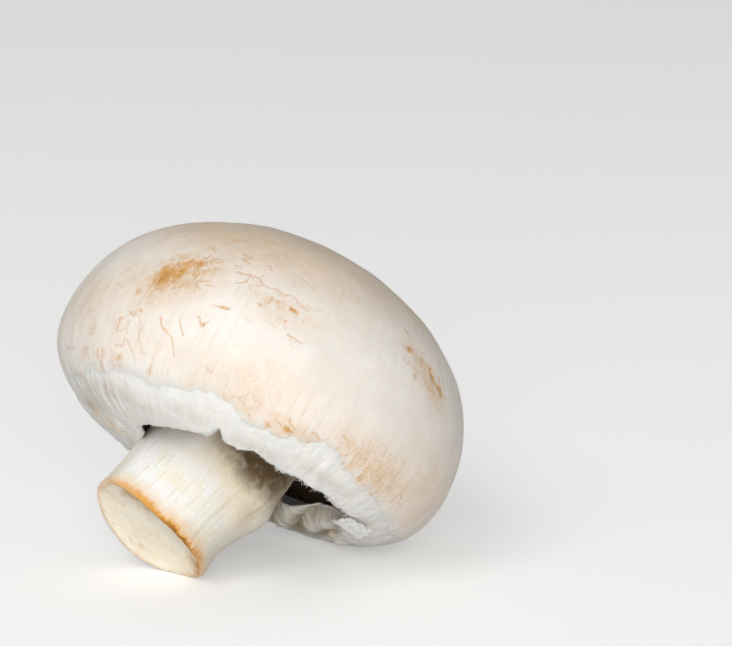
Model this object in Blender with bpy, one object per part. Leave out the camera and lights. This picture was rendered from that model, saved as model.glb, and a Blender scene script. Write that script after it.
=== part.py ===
"""A white button mushroom, picked and lying on its side, as four solids.

    cap    the domed flesh with its rolled-in margin, hollow below for the gills
    gills  the ring of thin blades that hangs from the roof of that hollow
    stem   the stout bent stalk, with the dished face where the knife cut it
    veil   the cottony skin that joined margin and stem, torn open on one side

Each solid is built in the cap's own frame: the origin is the centre of the cap's widest
ring, +Z points to the crown and +X to the side that the mushroom lies on. Angles round the
cap run from +X. An empty then leans and turns all four as they lie on the table, which is
the plane z = 0. Lengths are in metres.
"""

import math
import random

import bmesh
import bpy
from mathutils import Vector

MM = 0.001

# How the mushroom lies
CAP_LEAN = math.radians(35.5)  # of the crown, away from upright
HEADING = math.radians(42.0)  # of that lean, from +X towards +Y
CAP_HEIGHT = 19.35 * MM  # of the cap's centre over the table

# Cap
CAP_RADIUS = 26.2 * MM
CROWN_RISE = 20.2 * MM  # widest ring to crown
DOME_POWER = 2.08  # 2 is an ellipse, more is squarer
CURL = 10.0 * MM  # radius of the rolled-in margin's section
SKIN_TURN = math.radians(60.0)  # how far round that roll the cap's skin reaches
SKIN_SHORTFALL = math.radians(14.0)  # it stops this much sooner on the loose side, later opposite
CAP_SIDES = 72
DOME_RINGS = 13
SKIN_RINGS = 5
MARGIN_DEPTH = 2.0 * MM  # thickness of the rolled-in flesh
MARGIN_DROP = 0.8 * MM  # the margin hangs this much lower on its loose side
LOOSE_SIDE = math.radians(228.0)
ROOF_RIM = (19.4 * MM, -3.0 * MM)  # radius and height where the hollow's roof meets its wall
ROOF_MOUTH = (9.0 * MM, 3.2 * MM)  # the same, where the roof meets the stem's socket
SOCKET_TOP = (8.6 * MM, 6.5 * MM)
CLEARANCE = 0.3 * MM  # between neighbouring solids

# Gills
GILL_COUNT = 60
GILL_THICKNESS = 0.64 * MM
GILL_RIM = 18.7 * MM
GILL_SHEET = 0.8 * MM  # the flesh that the blades grow from
GILL_DEPTH = (5.4 * MM, 3.0 * MM)  # of a blade, at the stem and at the margin
SHORT_GILL_START = (12.2 * MM, 14.4 * MM)  # where every second blade begins, and is full
GILL_ROWS = 6

# Stem
STEM_TOP = Vector((-0.6, 0.0, 5.5)) * MM
STEM_BEND = Vector((-1.43, 0.0, -6.32)) * MM  # control point of its centre line
STEM_FOOT = Vector((-6.45, 0.0, -20.75)) * MM
STEM_RADII = (7.0, 7.6, 7.8, 7.9, 8.0, 8.0, 8.0, 8.0, 8.0, 7.95, 7.95, 8.05, 8.25)  # mm, top to foot
STEM_SIDES = 48
FOOT_EDGE = 0.35 * MM  # rounding of the cut rim
DISH = ((0.93, 0.05), (0.82, 0.45), (0.6, 0.9), (0.32, 1.15))  # share of the radius, depth in mm
DISH_DEPTH = 1.25 * MM
SWELLING_SIDE = math.radians(315.0)  # the stem is thicker on this side where it leaves the cap
SWELLING = 2.1 * MM
HEEL_SIDE = math.radians(10.0)  # the foot spreads a little where it rests
HEEL = 0.25 * MM
KNOB_LEVEL = 0.67  # share of the way down of a knob on the same side
KNOB_HEIGHT = 0.5 * MM
CUT_WARP = 0.5 * MM  # the knife's cut isn't flat: two opposite sides of it stand this much lower
CUT_WARP_SIDE = math.radians(60.0)

# Veil
VEIL_SIDES = 144
VEIL_THICKNESS = 0.8 * MM  # at its inner edge, from the margin's own depth at its root
VEIL_INSET = 0.15 * MM  # its face lies this much lower than the skin beside it
SEAM = math.radians(2.2)  # the clearance between skin and veil, as a turn round the curl
VEIL_RINGS = 3  # round the curl, before the sheet that hangs inside it
TORN_TURN = math.radians(64.0)  # how far round the curl the torn edge is
WHOLE_TURN = math.radians(86.0)  # the same where the veil is whole
TORN_LENGTH = 0.8 * MM  # of the sheet beyond that, where it is torn
TORN_FROM, TORN_TO = math.radians(178.0), math.radians(292.0)
TEAR_WIDTH = math.radians(18.0)  # the angle over which it goes from torn to whole
TEAR_SLOPE = math.radians(38.0)  # the margin is torn back more slowly than that on the first side
WHOLE_EDGE_LEFT = -11.2 * MM  # height at the stem on the side seen first
WHOLE_EDGE_RIGHT = -8.7 * MM
STEM_SLIT = 1.0 * MM  # between the whole part's edge and the stem
WIDE_SLIT = 1.3 * MM  # more than that beside the tear
RAGGEDNESS = 0.4 * MM
FLAP_SIDE = math.radians(285.0)  # a scrap that stands away from the torn edge
FLAP_HALF_WIDTH = math.radians(5.5)
FLAP_LIFT = 1.3 * MM


def clear_scene():
    for found in list(bpy.data.objects):
        bpy.data.objects.remove(found)


def mix(a, b, share):
    return a + (b - a) * share


def smooth(low, high, value):
    """0 below low, 1 above high, and an S-curve between."""
    t = min(1.0, max(0.0, (value - low) / (high - low)))
    return t * t * (3.0 - 2.0 * t)


def angle_between(a, b):
    """The unsigned angle from a to b, the short way round."""
    return abs((a - b + math.pi) % math.tau - math.pi)


def bump(distance, half_width):
    """1 at no distance, falling smoothly to nothing at about twice half_width."""
    return math.exp(-((distance / half_width) ** 2))


def at(angle, radius, height):
    return Vector((radius * math.cos(angle), radius * math.sin(angle), height))


def round_angles(sides):
    return [math.tau * i / sides for i in range(sides)]


def material(name, colour, roughness):
    made = bpy.data.materials.new(name)
    made.use_nodes = True
    surface = made.node_tree.nodes["Principled BSDF"]
    surface.inputs["Base Color"].default_value = (*colour, 1.0)
    surface.inputs["Roughness"].default_value = roughness
    surface.inputs["Metallic"].default_value = 0.0
    return made


def solid_from_rings(name, rings, look, rig, poles=None):
    """One closed body from rings joined in order: end to end, or with a fan to each of two poles."""
    body = bmesh.new()
    rows = [[body.verts.new(point) for point in ring] for ring in rings]
    pairs = list(zip(rows, rows[1:]))
    if poles is None:
        pairs.append((rows[-1], rows[0]))
    for upper, lower in pairs:
        for i in range(len(upper)):
            j = (i + 1) % len(upper)
            body.faces.new((upper[i], upper[j], lower[j], lower[i]))
    for row, pole in zip((rows[0], rows[-1]), poles or ()):
        tip = body.verts.new(pole)
        for i in range(len(row)):
            body.faces.new((row[i], row[(i + 1) % len(row)], tip))
    bmesh.ops.recalc_face_normals(body, faces=body.faces)
    mesh = bpy.data.meshes.new(name)
    body.to_mesh(mesh)
    body.free()
    mesh.shade_smooth()
    mesh.set_sharp_from_angle(angle=math.radians(50.0))
    mesh.materials.append(look)
    made = bpy.data.objects.new(name, mesh)
    bpy.context.scene.collection.objects.link(made)
    made.parent = rig
    return made


# ---- Cap


def cap_swell(angle):
    """A grown cap is never quite round: its radius at this angle, as a share of the plain one."""
    return 1.0 + 0.010 * math.cos(2.0 * (angle - 0.9)) + 0.006 * math.cos(3.0 * angle + 0.5)


def margin_drop(angle):
    """How far the margin hangs below a level one at this angle."""
    loose = 0.5 + 0.5 * math.cos(angle - LOOSE_SIDE)
    waves = 0.16 * math.sin(4.0 * angle + 1.0) + 0.1 * math.sin(7.0 * angle)
    return MARGIN_DROP * (loose + waves)


def skin_turn(angle):
    """How far round the curl the skin reaches at this angle."""
    return SKIN_TURN - SKIN_SHORTFALL * math.cos(angle - LOOSE_SIDE)


def curl_point(turn, depth, angle):
    """(radius, height) this far round the rolled-in margin's section and this deep in it."""
    reach = CURL - depth
    radius = CAP_RADIUS - CURL + reach * math.cos(turn)
    share = min(1.0, turn / SKIN_TURN)
    return radius, -reach * math.sin(turn) - margin_drop(angle) * share


def cap_outside(angle):
    """(radius, height) from crown to margin, down the skin at this angle."""
    power = 2.0 / DOME_POWER
    section = []
    for i in range(1, DOME_RINGS + 1):
        t = math.radians(90.0) * (1.0 - i / DOME_RINGS)
        section.append((CAP_RADIUS * math.cos(t) ** power, CROWN_RISE * math.sin(t) ** power))
    turns = [skin_turn(angle) * i / SKIN_RINGS for i in range(1, SKIN_RINGS + 1)]
    return section + [curl_point(turn, 0.0, angle) for turn in turns]


def cap_inside(angle):
    """(radius, height) from the margin up the hollow's wall and over its roof to the socket."""
    return [
        curl_point(skin_turn(angle), MARGIN_DEPTH * 0.5, angle),
        curl_point(skin_turn(angle), MARGIN_DEPTH, angle),
        (ROOF_RIM[0] + 0.3 * MM, ROOF_RIM[1] - 1.2 * MM),
        ROOF_RIM,
        ROOF_MOUTH,
        SOCKET_TOP,
    ]


def make_cap(look, rig):
    angles = round_angles(CAP_SIDES)
    skin = [[at(a, r * cap_swell(a), z) for r, z in cap_outside(a)] for a in angles]
    hollow = [[at(a, r, z) for r, z in cap_inside(a)] for a in angles]
    rings = [list(ring) for ring in zip(*(above + under for above, under in zip(skin, hollow)))]
    crown = Vector((0.0, 0.0, CROWN_RISE))
    socket = Vector((0.0, 0.0, SOCKET_TOP[1]))
    return solid_from_rings("cap", rings, look, rig, (crown, socket))


# ---- Stem


def stem_centre(share):
    """A point of the centre line, 0 inside the cap and 1 at the cut, and the line's direction there."""
    rest = 1.0 - share
    point = rest * rest * STEM_TOP + 2.0 * rest * share * STEM_BEND + share * share * STEM_FOOT
    along = rest * (STEM_BEND - STEM_TOP) + share * (STEM_FOOT - STEM_BEND)
    return point, along.normalized()


def stem_radius(share, angle):
    steps = len(STEM_RADII) - 1
    i = min(int(share * steps), steps - 1)
    plain = mix(STEM_RADII[i], STEM_RADII[i + 1], share * steps - i) * MM
    side = bump(angle_between(angle, SWELLING_SIDE), 0.8)
    swelling = SWELLING * side * smooth(0.1, 0.4, share) * (1.0 - smooth(0.62, 0.92, share))
    knob = KNOB_HEIGHT * bump(angle_between(angle, SWELLING_SIDE), 0.4) * bump(share - KNOB_LEVEL, 0.07)
    waves = 0.12 * MM * math.sin(5.0 * angle + 4.0 * share) + 0.08 * MM * math.sin(9.0 * angle)
    heel = HEEL * bump(angle_between(angle, HEEL_SIDE), 0.8) * smooth(0.85, 1.0, share)
    return plain + swelling + knob + heel + waves


def stem_ring(share, scale=1.0, inset=0.0, lift=0.0):
    """A ring round the centre line. Inset shrinks it, and lift moves it back up the stem."""
    centre, along = stem_centre(share)
    side = Vector((0.0, 1.0, 0.0))
    across = side.cross(along).normalized() * -1.0
    ring = []
    for angle in round_angles(STEM_SIDES):
        radius = (stem_radius(share, angle) - inset) * scale
        offset = across * math.cos(angle) * radius + side * math.sin(angle) * radius
        warp = CUT_WARP * math.cos(2.0 * (angle - CUT_WARP_SIDE)) * smooth(0.8, 1.0, share) * scale
        ring.append(centre + along * (warp - lift) + offset)
    return ring


def stem_reach(angle, height):
    """How far from the cap's axis the stem's surface lies at this angle and height."""
    share = (STEM_TOP.z - height) / (STEM_TOP.z - STEM_FOOT.z)
    centre, _ = stem_centre(share)
    along = centre.x * math.cos(angle)
    radius = stem_radius(share, angle) + 0.15 * MM
    return along + math.sqrt(radius * radius - centre.x * centre.x + along * along)


def make_stem(look, rig):
    steps = len(STEM_RADII) - 1
    top, _ = stem_centre(0.0)
    foot, along = stem_centre(1.0)
    rings = [stem_ring(0.0, inset=1.0 * MM), stem_ring(0.0, lift=-0.6 * MM)]
    rings += [stem_ring(i / steps) for i in range(1, steps)]
    rings += [stem_ring(1.0, lift=FOOT_EDGE), stem_ring(1.0, inset=FOOT_EDGE)]
    rings += [stem_ring(1.0, scale=share, lift=depth * MM) for share, depth in DISH]
    return solid_from_rings("stem", rings, look, rig, (top, foot - along * DISH_DEPTH))


# ---- Gills


def roof_height(radius):
    """The height of the hollow's roof at this radius."""
    share = (radius - ROOF_MOUTH[0]) / (ROOF_RIM[0] - ROOF_MOUTH[0])
    return mix(ROOF_MOUTH[1], ROOF_RIM[1], share)


def gill_depth(radius, is_short):
    share = (radius - ROOF_MOUTH[0]) / (GILL_RIM - ROOF_MOUTH[0])
    depth = mix(*GILL_DEPTH, share)
    return depth * smooth(*SHORT_GILL_START, radius) if is_short else depth


def gill_start(angle):
    """The gills stop short of the stem, which leans through their ring."""
    return max(9.6 * MM, stem_reach(angle, -4.5 * MM) + 0.5 * MM)


def blade_points(index, share, is_blade):
    """Four points across a blade, or across the sheet over it, this share of the way to the margin."""
    angle = math.tau * index / GILL_COUNT
    radius = mix(gill_start(angle), GILL_RIM, share)
    root = roof_height(radius) - CLEARANCE - (GILL_SHEET if is_blade else 0.0)
    edge = root - (gill_depth(radius, index % 2 == 1) if is_blade else 0.0)
    half = Vector((-math.sin(angle), math.cos(angle), 0.0)) * GILL_THICKNESS / 2.0
    return [
        at(angle, radius, root) - half,
        at(angle, radius, edge) - half,
        at(angle, radius, edge) + half,
        at(angle, radius, root) + half,
    ]


def gill_ring(share, is_blade):
    return [point for i in range(GILL_COUNT) for point in blade_points(i, share, is_blade)]


def make_gills(look, rig):
    rings = [gill_ring(i / GILL_ROWS, True) for i in range(GILL_ROWS + 1)]
    rings += [gill_ring(1.0, False), gill_ring(0.0, False)]
    return solid_from_rings("gills", rings, look, rig)


# ---- Veil


def wholeness(angle):
    """0 where the veil is torn back to the margin, 1 where it still reaches the stem."""
    opening = smooth(TORN_FROM - TEAR_WIDTH, TORN_FROM, angle)
    closing = smooth(TORN_TO, TORN_TO + TEAR_WIDTH, angle)
    return 1.0 - opening + closing


def veil_turns(angle):
    """The turns round the curl at which the veil has a ring, from the skin's edge inward."""
    left = mix(WHOLE_TURN, TORN_TURN, smooth(TORN_FROM, TORN_FROM + TEAR_SLOPE, angle))
    right = smooth(TORN_TO, TORN_TO + TEAR_WIDTH, angle)
    first, last = skin_turn(angle) + SEAM, mix(left, WHOLE_TURN, right)
    return [mix(first, last, i / (VEIL_RINGS - 1)) for i in range(VEIL_RINGS)]


def veil_edge(angle, start, last_turn, jag):
    """(radius, height) of the veil's inner edge."""
    height = mix(WHOLE_EDGE_RIGHT, WHOLE_EDGE_LEFT, bump(angle_between(angle, 2.3), 1.0))
    slit = STEM_SLIT + WIDE_SLIT * bump(angle_between(angle, TORN_TO + TEAR_WIDTH), 0.45)
    whole = Vector((stem_reach(angle, height) + slit + jag * 0.5, height))
    inward = Vector((-math.sin(last_turn), -math.cos(last_turn)))
    torn = start + inward * (TORN_LENGTH + jag)
    outward = Vector((-inward.y, inward.x))
    torn += outward * FLAP_LIFT * bump(angle_between(angle, FLAP_SIDE), FLAP_HALF_WIDTH)
    return torn.lerp(whole, wholeness(angle))


def veil_sheet(angle, last_turn, jag):
    """The (radius, height) of the middle of the part beyond the curl."""
    start = Vector(curl_point(last_turn, MARGIN_DEPTH * 0.35, angle))
    edge = veil_edge(angle, start, last_turn, jag)
    half_way = start.lerp(edge, 0.55)
    half_way.y -= 0.5 * MM * wholeness(angle)
    return [start, half_way, edge]


def veil_column(angle, jag):
    """The closed section at one angle: down the outer face, then back up the inner face."""
    turns = veil_turns(angle)
    outer = [Vector(curl_point(turn, VEIL_INSET, angle)) for turn in turns]
    depths = [mix(MARGIN_DEPTH, MARGIN_DEPTH * 0.7, i / (VEIL_RINGS - 1)) for i in range(VEIL_RINGS)]
    inner = [Vector(curl_point(turn, depth, angle)) for turn, depth in zip(turns, depths)]
    sheet = veil_sheet(angle, turns[-1], jag)
    for before, here in zip(sheet, sheet[1:]):
        along = (here - before).normalized()
        across = Vector((along.y, -along.x)) * VEIL_THICKNESS / 2.0
        outer.append(here - across)
        inner.append(here + across)
    swell = cap_swell(angle)
    return [at(angle, point.x * swell, point.y) for point in outer + inner[::-1]]


def make_veil(look, rig):
    draw = random.Random(7)
    columns = []
    for angle in round_angles(VEIL_SIDES):
        tear = draw.uniform(-1.0, 1.0) * RAGGEDNESS
        wave = 0.35 * MM * math.sin(6.0 * angle + 1.3) + 0.2 * MM * math.sin(15.0 * angle)
        columns.append(veil_column(angle, tear + wave))
    return solid_from_rings("veil", columns, look, rig)


# ---- Lying down


def make_table():
    """The cutter that leaves a small flat wherever the mushroom's weight rests on the table."""
    size, depth = 200.0 * MM, 20.0 * MM
    body = bmesh.new()
    bmesh.ops.create_cube(body, size=1.0)
    bmesh.ops.scale(body, vec=(size, size, depth), verts=body.verts)
    bmesh.ops.translate(body, vec=(0.0, 0.0, -depth / 2.0), verts=body.verts)
    mesh = bpy.data.meshes.new("table")
    body.to_mesh(mesh)
    body.free()
    table = bpy.data.objects.new("table", mesh)
    bpy.context.scene.collection.objects.link(table)
    table.hide_render = True
    table.display_type = "WIRE"
    return table


def rest_on(made, table):
    flat = made.modifiers.new("resting_flat", "BOOLEAN")
    flat.operation = "DIFFERENCE"
    flat.solver = "EXACT"
    flat.object = table


def centre_over_origin(rig, parts):
    """Slides the mushroom so that the middle of its bounding box is over the origin."""
    bpy.context.view_layer.update()
    graph = bpy.context.evaluated_depsgraph_get()
    corners = []
    for made in parts:
        found = made.evaluated_get(graph)
        corners += [found.matrix_world @ vertex.co for vertex in found.data.vertices]
    for axis in (0, 1):
        values = [corner[axis] for corner in corners]
        rig.location[axis] -= (min(values) + max(values)) / 2.0


def main():
    clear_scene()
    rig = bpy.data.objects.new("mushroom", None)
    bpy.context.scene.collection.objects.link(rig)
    rig.rotation_mode = "XYZ"
    rig.rotation_euler = (0.0, CAP_LEAN, HEADING)
    rig.location.z = CAP_HEIGHT

    cap = make_cap(material("cap_skin", (0.83, 0.76, 0.67), 0.5), rig)
    gills = make_gills(material("gill_flesh", (0.17, 0.1, 0.06), 0.7), rig)
    stem = make_stem(material("stem_flesh", (0.84, 0.79, 0.69), 0.6), rig)
    veil = make_veil(material("veil_membrane", (0.82, 0.82, 0.8), 0.75), rig)

    table = make_table()
    rest_on(cap, table)
    rest_on(stem, table)
    centre_over_origin(rig, (cap, gills, stem, veil))


main()
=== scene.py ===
# %% [markdown]
# # A picked button mushroom
# A white button mushroom lies on its side on a pale table. Four solids hold its main
# shapes: the cap, the gills, the stem and the veil. This script loads them as a fixed
# frame, and lays a much finer surface over each: bruised skin, cottony veil, fibrous
# stem. It works in metres, and in the cap's own frame until a piece is finished.

import itertools
import math

import bpy
import numpy as np
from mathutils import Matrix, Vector


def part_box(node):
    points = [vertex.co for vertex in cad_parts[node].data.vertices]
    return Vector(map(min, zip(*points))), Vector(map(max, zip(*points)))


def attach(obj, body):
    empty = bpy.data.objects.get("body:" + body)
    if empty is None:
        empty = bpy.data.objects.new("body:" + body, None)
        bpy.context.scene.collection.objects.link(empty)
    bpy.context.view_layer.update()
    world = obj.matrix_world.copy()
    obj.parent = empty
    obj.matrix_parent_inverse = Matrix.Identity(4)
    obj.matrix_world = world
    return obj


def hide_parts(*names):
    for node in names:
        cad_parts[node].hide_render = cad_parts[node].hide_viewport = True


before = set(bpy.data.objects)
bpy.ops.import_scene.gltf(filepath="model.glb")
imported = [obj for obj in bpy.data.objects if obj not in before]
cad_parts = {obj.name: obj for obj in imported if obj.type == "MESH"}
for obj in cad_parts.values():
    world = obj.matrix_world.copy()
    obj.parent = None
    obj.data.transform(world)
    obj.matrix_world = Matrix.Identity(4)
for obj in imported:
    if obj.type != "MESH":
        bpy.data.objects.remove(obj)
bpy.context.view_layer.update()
MM = 0.001
print("solids:", sorted(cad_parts))


# %% [markdown]
# ## Small tools for curves and roughness
# Nothing that grew is quite even. Most of the unevenness here comes from one helper: a
# grid of fixed random numbers, blended smoothly between its corners, called at several
# sizes. It is written with arrays, because a skin has a hundred thousand points, and a
# loop over them would be slow.

# %% Curves
TAU = 2.0 * math.pi


def mix(a, b, share):
    return a + (b - a) * share


def smooth(low, high, value):
    """0 below low, 1 above high, and an S-curve between."""
    t = np.clip((value - low) / (high - low), 0.0, 1.0)
    return t * t * (3.0 - 2.0 * t)


def angle_between(a, b):
    return np.abs((a - b + math.pi) % TAU - math.pi)


def bump(distance, half_width):
    return np.exp(-((distance / half_width) ** 2))


# %% Roughness
def corner_value(corner, seed):
    """A fixed number from -1 to 1 for each whole-numbered corner of a grid."""
    x, y, z = corner[..., 0], corner[..., 1], corner[..., 2]
    mixed = (x * 374761393 + y * 668265263 + z * 1440662683 + seed * 974634777) & 0xFFFFFFFF
    mixed = ((mixed ^ (mixed >> 13)) * 1274126177) & 0xFFFFFFFF
    return (mixed ^ (mixed >> 16)) / 2147483647.5 - 1.0


def roughness(points, cell, seed):
    """Smooth unevenness from -1 to 1, with lumps about as large as cell."""
    grid = points / cell
    corner = np.floor(grid).astype(np.int64)
    t = grid - corner
    t = t * t * (3.0 - 2.0 * t)
    total = 0.0
    for step in itertools.product((0, 1), repeat=3):
        weight = np.prod(np.where(np.array(step) == 1, t, 1.0 - t), axis=-1)
        total = total + weight * corner_value(corner + np.array(step), seed)
    return total


def layered(points, cell, seed, layers=3):
    """Roughness with finer roughness on it, each layer half as large and half as high."""
    return sum(roughness(points, cell / 2**i, seed + i) / 2**i for i in range(layers))


# %% [markdown]
# ## The cap's own frame
# The cap is a turned form: its section is a dome that rolls in at the margin. Each point
# of the skin is named by an angle round the cap and a distance from the crown along the
# skin, as on a globe. That makes it easy to say where a bruise is. The same lean and
# heading as the solid's then lay it down, and the solid's box says where it lies.

# %% Sizes of the cap
CAP_LEAN = math.radians(35.5)
HEADING = math.radians(42.0)
CAP_RADIUS = 26.2 * MM
CROWN_RISE = 20.2 * MM
DOME_POWER = 2.08
CURL = 10.0 * MM
SKIN_TURN = math.radians(60.0)
SKIN_SHORTFALL = math.radians(14.0)
MARGIN_DEPTH = 2.0 * MM
MARGIN_DROP = 0.8 * MM
LOOSE_SIDE = math.radians(228.0)
ROOF_RIM = (19.4 * MM, -3.0 * MM)
ROOF_MOUTH = (9.0 * MM, 3.2 * MM)
SOCKET_TOP = (8.6 * MM, 6.5 * MM)

dome_turn = np.linspace(math.pi / 2.0, 0.0, 4001)
dome_radius = CAP_RADIUS * np.cos(dome_turn) ** (2.0 / DOME_POWER)
dome_height = CROWN_RISE * np.sin(dome_turn) ** (2.0 / DOME_POWER)
dome_radius[0] = 0.0
steps = np.hypot(np.diff(dome_radius), np.diff(dome_height))
dome_run = np.concatenate([[0.0], np.cumsum(steps)])
DOME_LENGTH = dome_run[-1]
print("crown to widest ring, mm:", round(DOME_LENGTH / MM, 2))


# %% The skin's section
def cap_swell(angle):
    return 1.0 + 0.010 * np.cos(2.0 * (angle - 0.9)) + 0.006 * np.cos(3.0 * angle + 0.5)


def margin_drop(angle):
    loose = 0.5 + 0.5 * np.cos(angle - LOOSE_SIDE)
    waves = 0.16 * np.sin(4.0 * angle + 1.0) + 0.1 * np.sin(7.0 * angle)
    return MARGIN_DROP * (loose + waves)


def skin_turn(angle):
    return SKIN_TURN - SKIN_SHORTFALL * np.cos(angle - LOOSE_SIDE)


def curl_point(turn, depth, angle):
    """(radius, height) this far round the rolled-in margin and this deep in it."""
    flat_side = 0.6 * MM * bump(angle_between(angle, math.radians(130.0)), 0.5)
    reach = CURL - depth - flat_side * smooth(0.3, 1.1, turn)
    drop = margin_drop(angle) * np.minimum(1.0, turn / SKIN_TURN)
    return CAP_RADIUS - CURL + reach * np.cos(turn), -reach * np.sin(turn) - drop


def skin_section(angle, run):
    """(radius, height) of the smooth skin this far from the crown."""
    curl_radius, curl_height = curl_point((run - DOME_LENGTH) / CURL, 0.0, angle)
    on_dome = run < DOME_LENGTH
    radius = np.where(on_dome, np.interp(run, dome_run, dome_radius), curl_radius)
    height = np.where(on_dome, np.interp(run, dome_run, dome_height), curl_height)
    return radius * cap_swell(angle), height


def at(angle, radius, height):
    """Points from angles, radii and heights."""
    angle, radius, height = np.broadcast_arrays(angle, radius, height)
    return np.stack([radius * np.cos(angle), radius * np.sin(angle), height], axis=-1)


# %% Lay it down
lean, head = CAP_LEAN, HEADING
LAID = np.array(
    [
        [math.cos(head) * math.cos(lean), -math.sin(head), math.cos(head) * math.sin(lean)],
        [math.sin(head) * math.cos(lean), math.cos(head), math.sin(head) * math.sin(lean)],
        [-math.sin(lean), 0.0, math.cos(lean)],
    ]
)
angles, runs = np.meshgrid(np.linspace(0.0, TAU, 361), np.linspace(0.0, DOME_LENGTH + 0.008, 400))
plain = at(angles, *skin_section(angles, runs)) @ LAID.T
cap_low, cap_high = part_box("cap")
reach = [(plain[..., axis].min(), plain[..., axis].max()) for axis in range(3)]
CAP_CENTRE = np.array(
    [
        (cap_low[0] + cap_high[0] - reach[0][0] - reach[0][1]) / 2.0,
        (cap_low[1] + cap_high[1] - reach[1][0] - reach[1][1]) / 2.0,
        cap_high[2] - reach[2][1],
    ]
)
print("cap's centre, mm:", (CAP_CENTRE / MM).round(2))


def lay_down(points):
    """From the cap's frame to the table's. Nothing sinks into the table."""
    laid = points @ LAID.T + CAP_CENTRE
    laid[..., 2] = np.maximum(laid[..., 2], 0.0)
    return laid


# %% [markdown]
# ## Meshes from grids
# Each large piece is a grid of points: rings joined in order, and closed by a fan at each
# end. The grid can also carry numbers for the material, such as how bruised the skin is.

# %% Grid to mesh
def in_scene(name, data):
    """An object for this mesh, lamp or camera, in the scene."""
    made = bpy.data.objects.new(name, data)
    bpy.context.scene.collection.objects.link(made)
    return made


def write_mark(mesh, mark, values):
    """Stores a number or a vector for each point of the mesh."""
    kind, field = ("FLOAT_VECTOR", "vector") if values.ndim == 2 else ("FLOAT", "value")
    made = mesh.attributes.new(mark, kind, "POINT")
    made.data.foreach_set(field, values.astype(np.float32).ravel())


def grid_piece(name, grid, look, ends=None, marks=None):
    """A closed mesh from rings of points in the table's frame.

    Without ends, the last ring joins the first. Marks are arrays of the grid's shape.
    """
    rings, sides = grid.shape[:2]
    points = grid.reshape(-1, 3)
    index = np.arange(rings * sides).reshape(rings, sides)
    upper, lower = (index[:-1], index[1:]) if ends is not None else (
        index, np.roll(index, -1, axis=0)
    )
    right = np.roll(upper, -1, axis=1)
    quads = np.stack([upper, lower, np.roll(lower, -1, axis=1), right], axis=-1).reshape(-1, 4)
    faces = quads.tolist()
    if ends is not None:
        points = np.vstack([points, ends])
        first, last = rings * sides, rings * sides + 1
        for i in range(sides):
            j = (i + 1) % sides
            faces.append((first, int(index[0, i]), int(index[0, j])))
            faces.append((last, int(index[-1, j]), int(index[-1, i])))
    mesh = bpy.data.meshes.new(name)
    mesh.from_pydata(points.tolist(), [], faces)
    if signed_volume(points, quads) < 0.0:
        mesh.flip_normals()
    for mark, values in (marks or {}).items():
        flat = values.reshape(rings * sides, *values.shape[2:])
        if ends is not None:
            flat = np.concatenate([flat, [values[0].mean(axis=0), values[-1].mean(axis=0)]])
        write_mark(mesh, mark, flat)
    mesh.shade_smooth()
    mesh.materials.append(look)
    print(f"{name}: {len(mesh.vertices)} points, {sum(len(f) - 2 for f in faces)} triangles")
    return in_scene(name, mesh)


def signed_volume(points, quads):
    a, b, c, d = (points[quads[:, k]] for k in range(4))
    return float((np.cross(b, c) * a).sum() + (np.cross(c, d) * a).sum())


# %% [markdown]
# ## Wiring nodes
# A material or a Geometry Nodes tree is a list of small steps. Two helpers keep each step
# to one line: one adds a node with its inputs, and one does arithmetic.

# %% Node helpers
def add(tree, kind, inputs=None, **settings):
    """One node. An input takes a plain value or another node's output."""
    made = tree.nodes.new(kind)
    for setting, value in settings.items():
        setattr(made, setting, value)
    for name, value in (inputs or {}).items():
        if isinstance(value, bpy.types.NodeSocket):
            tree.links.new(value, made.inputs[name])
        else:
            made.inputs[name].default_value = value
    return made


def maths(tree, operation, *values, clamp=False):
    kind = "ShaderNodeMath"
    return add(tree, kind, dict(enumerate(values)), operation=operation, use_clamp=clamp).outputs[0]


def vectors(tree, operation, *values):
    made = add(tree, "ShaderNodeVectorMath", dict(enumerate(values)), operation=operation)
    return made.outputs["Value" if operation in ("LENGTH", "DOT_PRODUCT", "DISTANCE") else "Vector"]


def ramp(tree, value, low, high, to_low=0.0, to_high=1.0):
    """Maps low..high smoothly to to_low..to_high."""
    inputs = {0: value, 1: low, 2: high, 3: to_low, 4: to_high}
    kind = "ShaderNodeMapRange"
    return add(tree, kind, inputs, interpolation_type="SMOOTHSTEP").outputs[0]


def colour(hexed):
    """A linear colour from a hex code, as paint charts give it."""
    parts = [int(hexed[i : i + 2], 16) / 255.0 for i in (0, 2, 4)]
    return tuple(p / 12.92 if p < 0.04045 else ((p + 0.055) / 1.055) ** 2.4 for p in parts) + (1.0,)


def blend_colour(tree, share, under, over, way="MIX"):
    made = tree.nodes.new("ShaderNodeMix")
    made.data_type, made.blend_type = "RGBA", way
    for socket, value in ((made.inputs[0], share), (made.inputs[6], under), (made.inputs[7], over)):
        if isinstance(value, bpy.types.NodeSocket):
            tree.links.new(value, socket)
        else:
            socket.default_value = value
    return made.outputs[2]


def mark_of(tree, name, output="Fac"):
    return add(tree, "ShaderNodeAttribute", attribute_name=name).outputs[output]


def cloud(tree, place, size, detail=4.0, rough=0.55, warp=0.0):
    """Noise, 0 to 1, with spots about as large as size, in metres."""
    inputs = {
        "Vector": place,
        "Scale": 1.0 / size,
        "Detail": detail,
        "Roughness": rough,
        "Distortion": warp,
    }
    return add(tree, "ShaderNodeTexNoise", inputs).outputs["Fac"]


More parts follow.
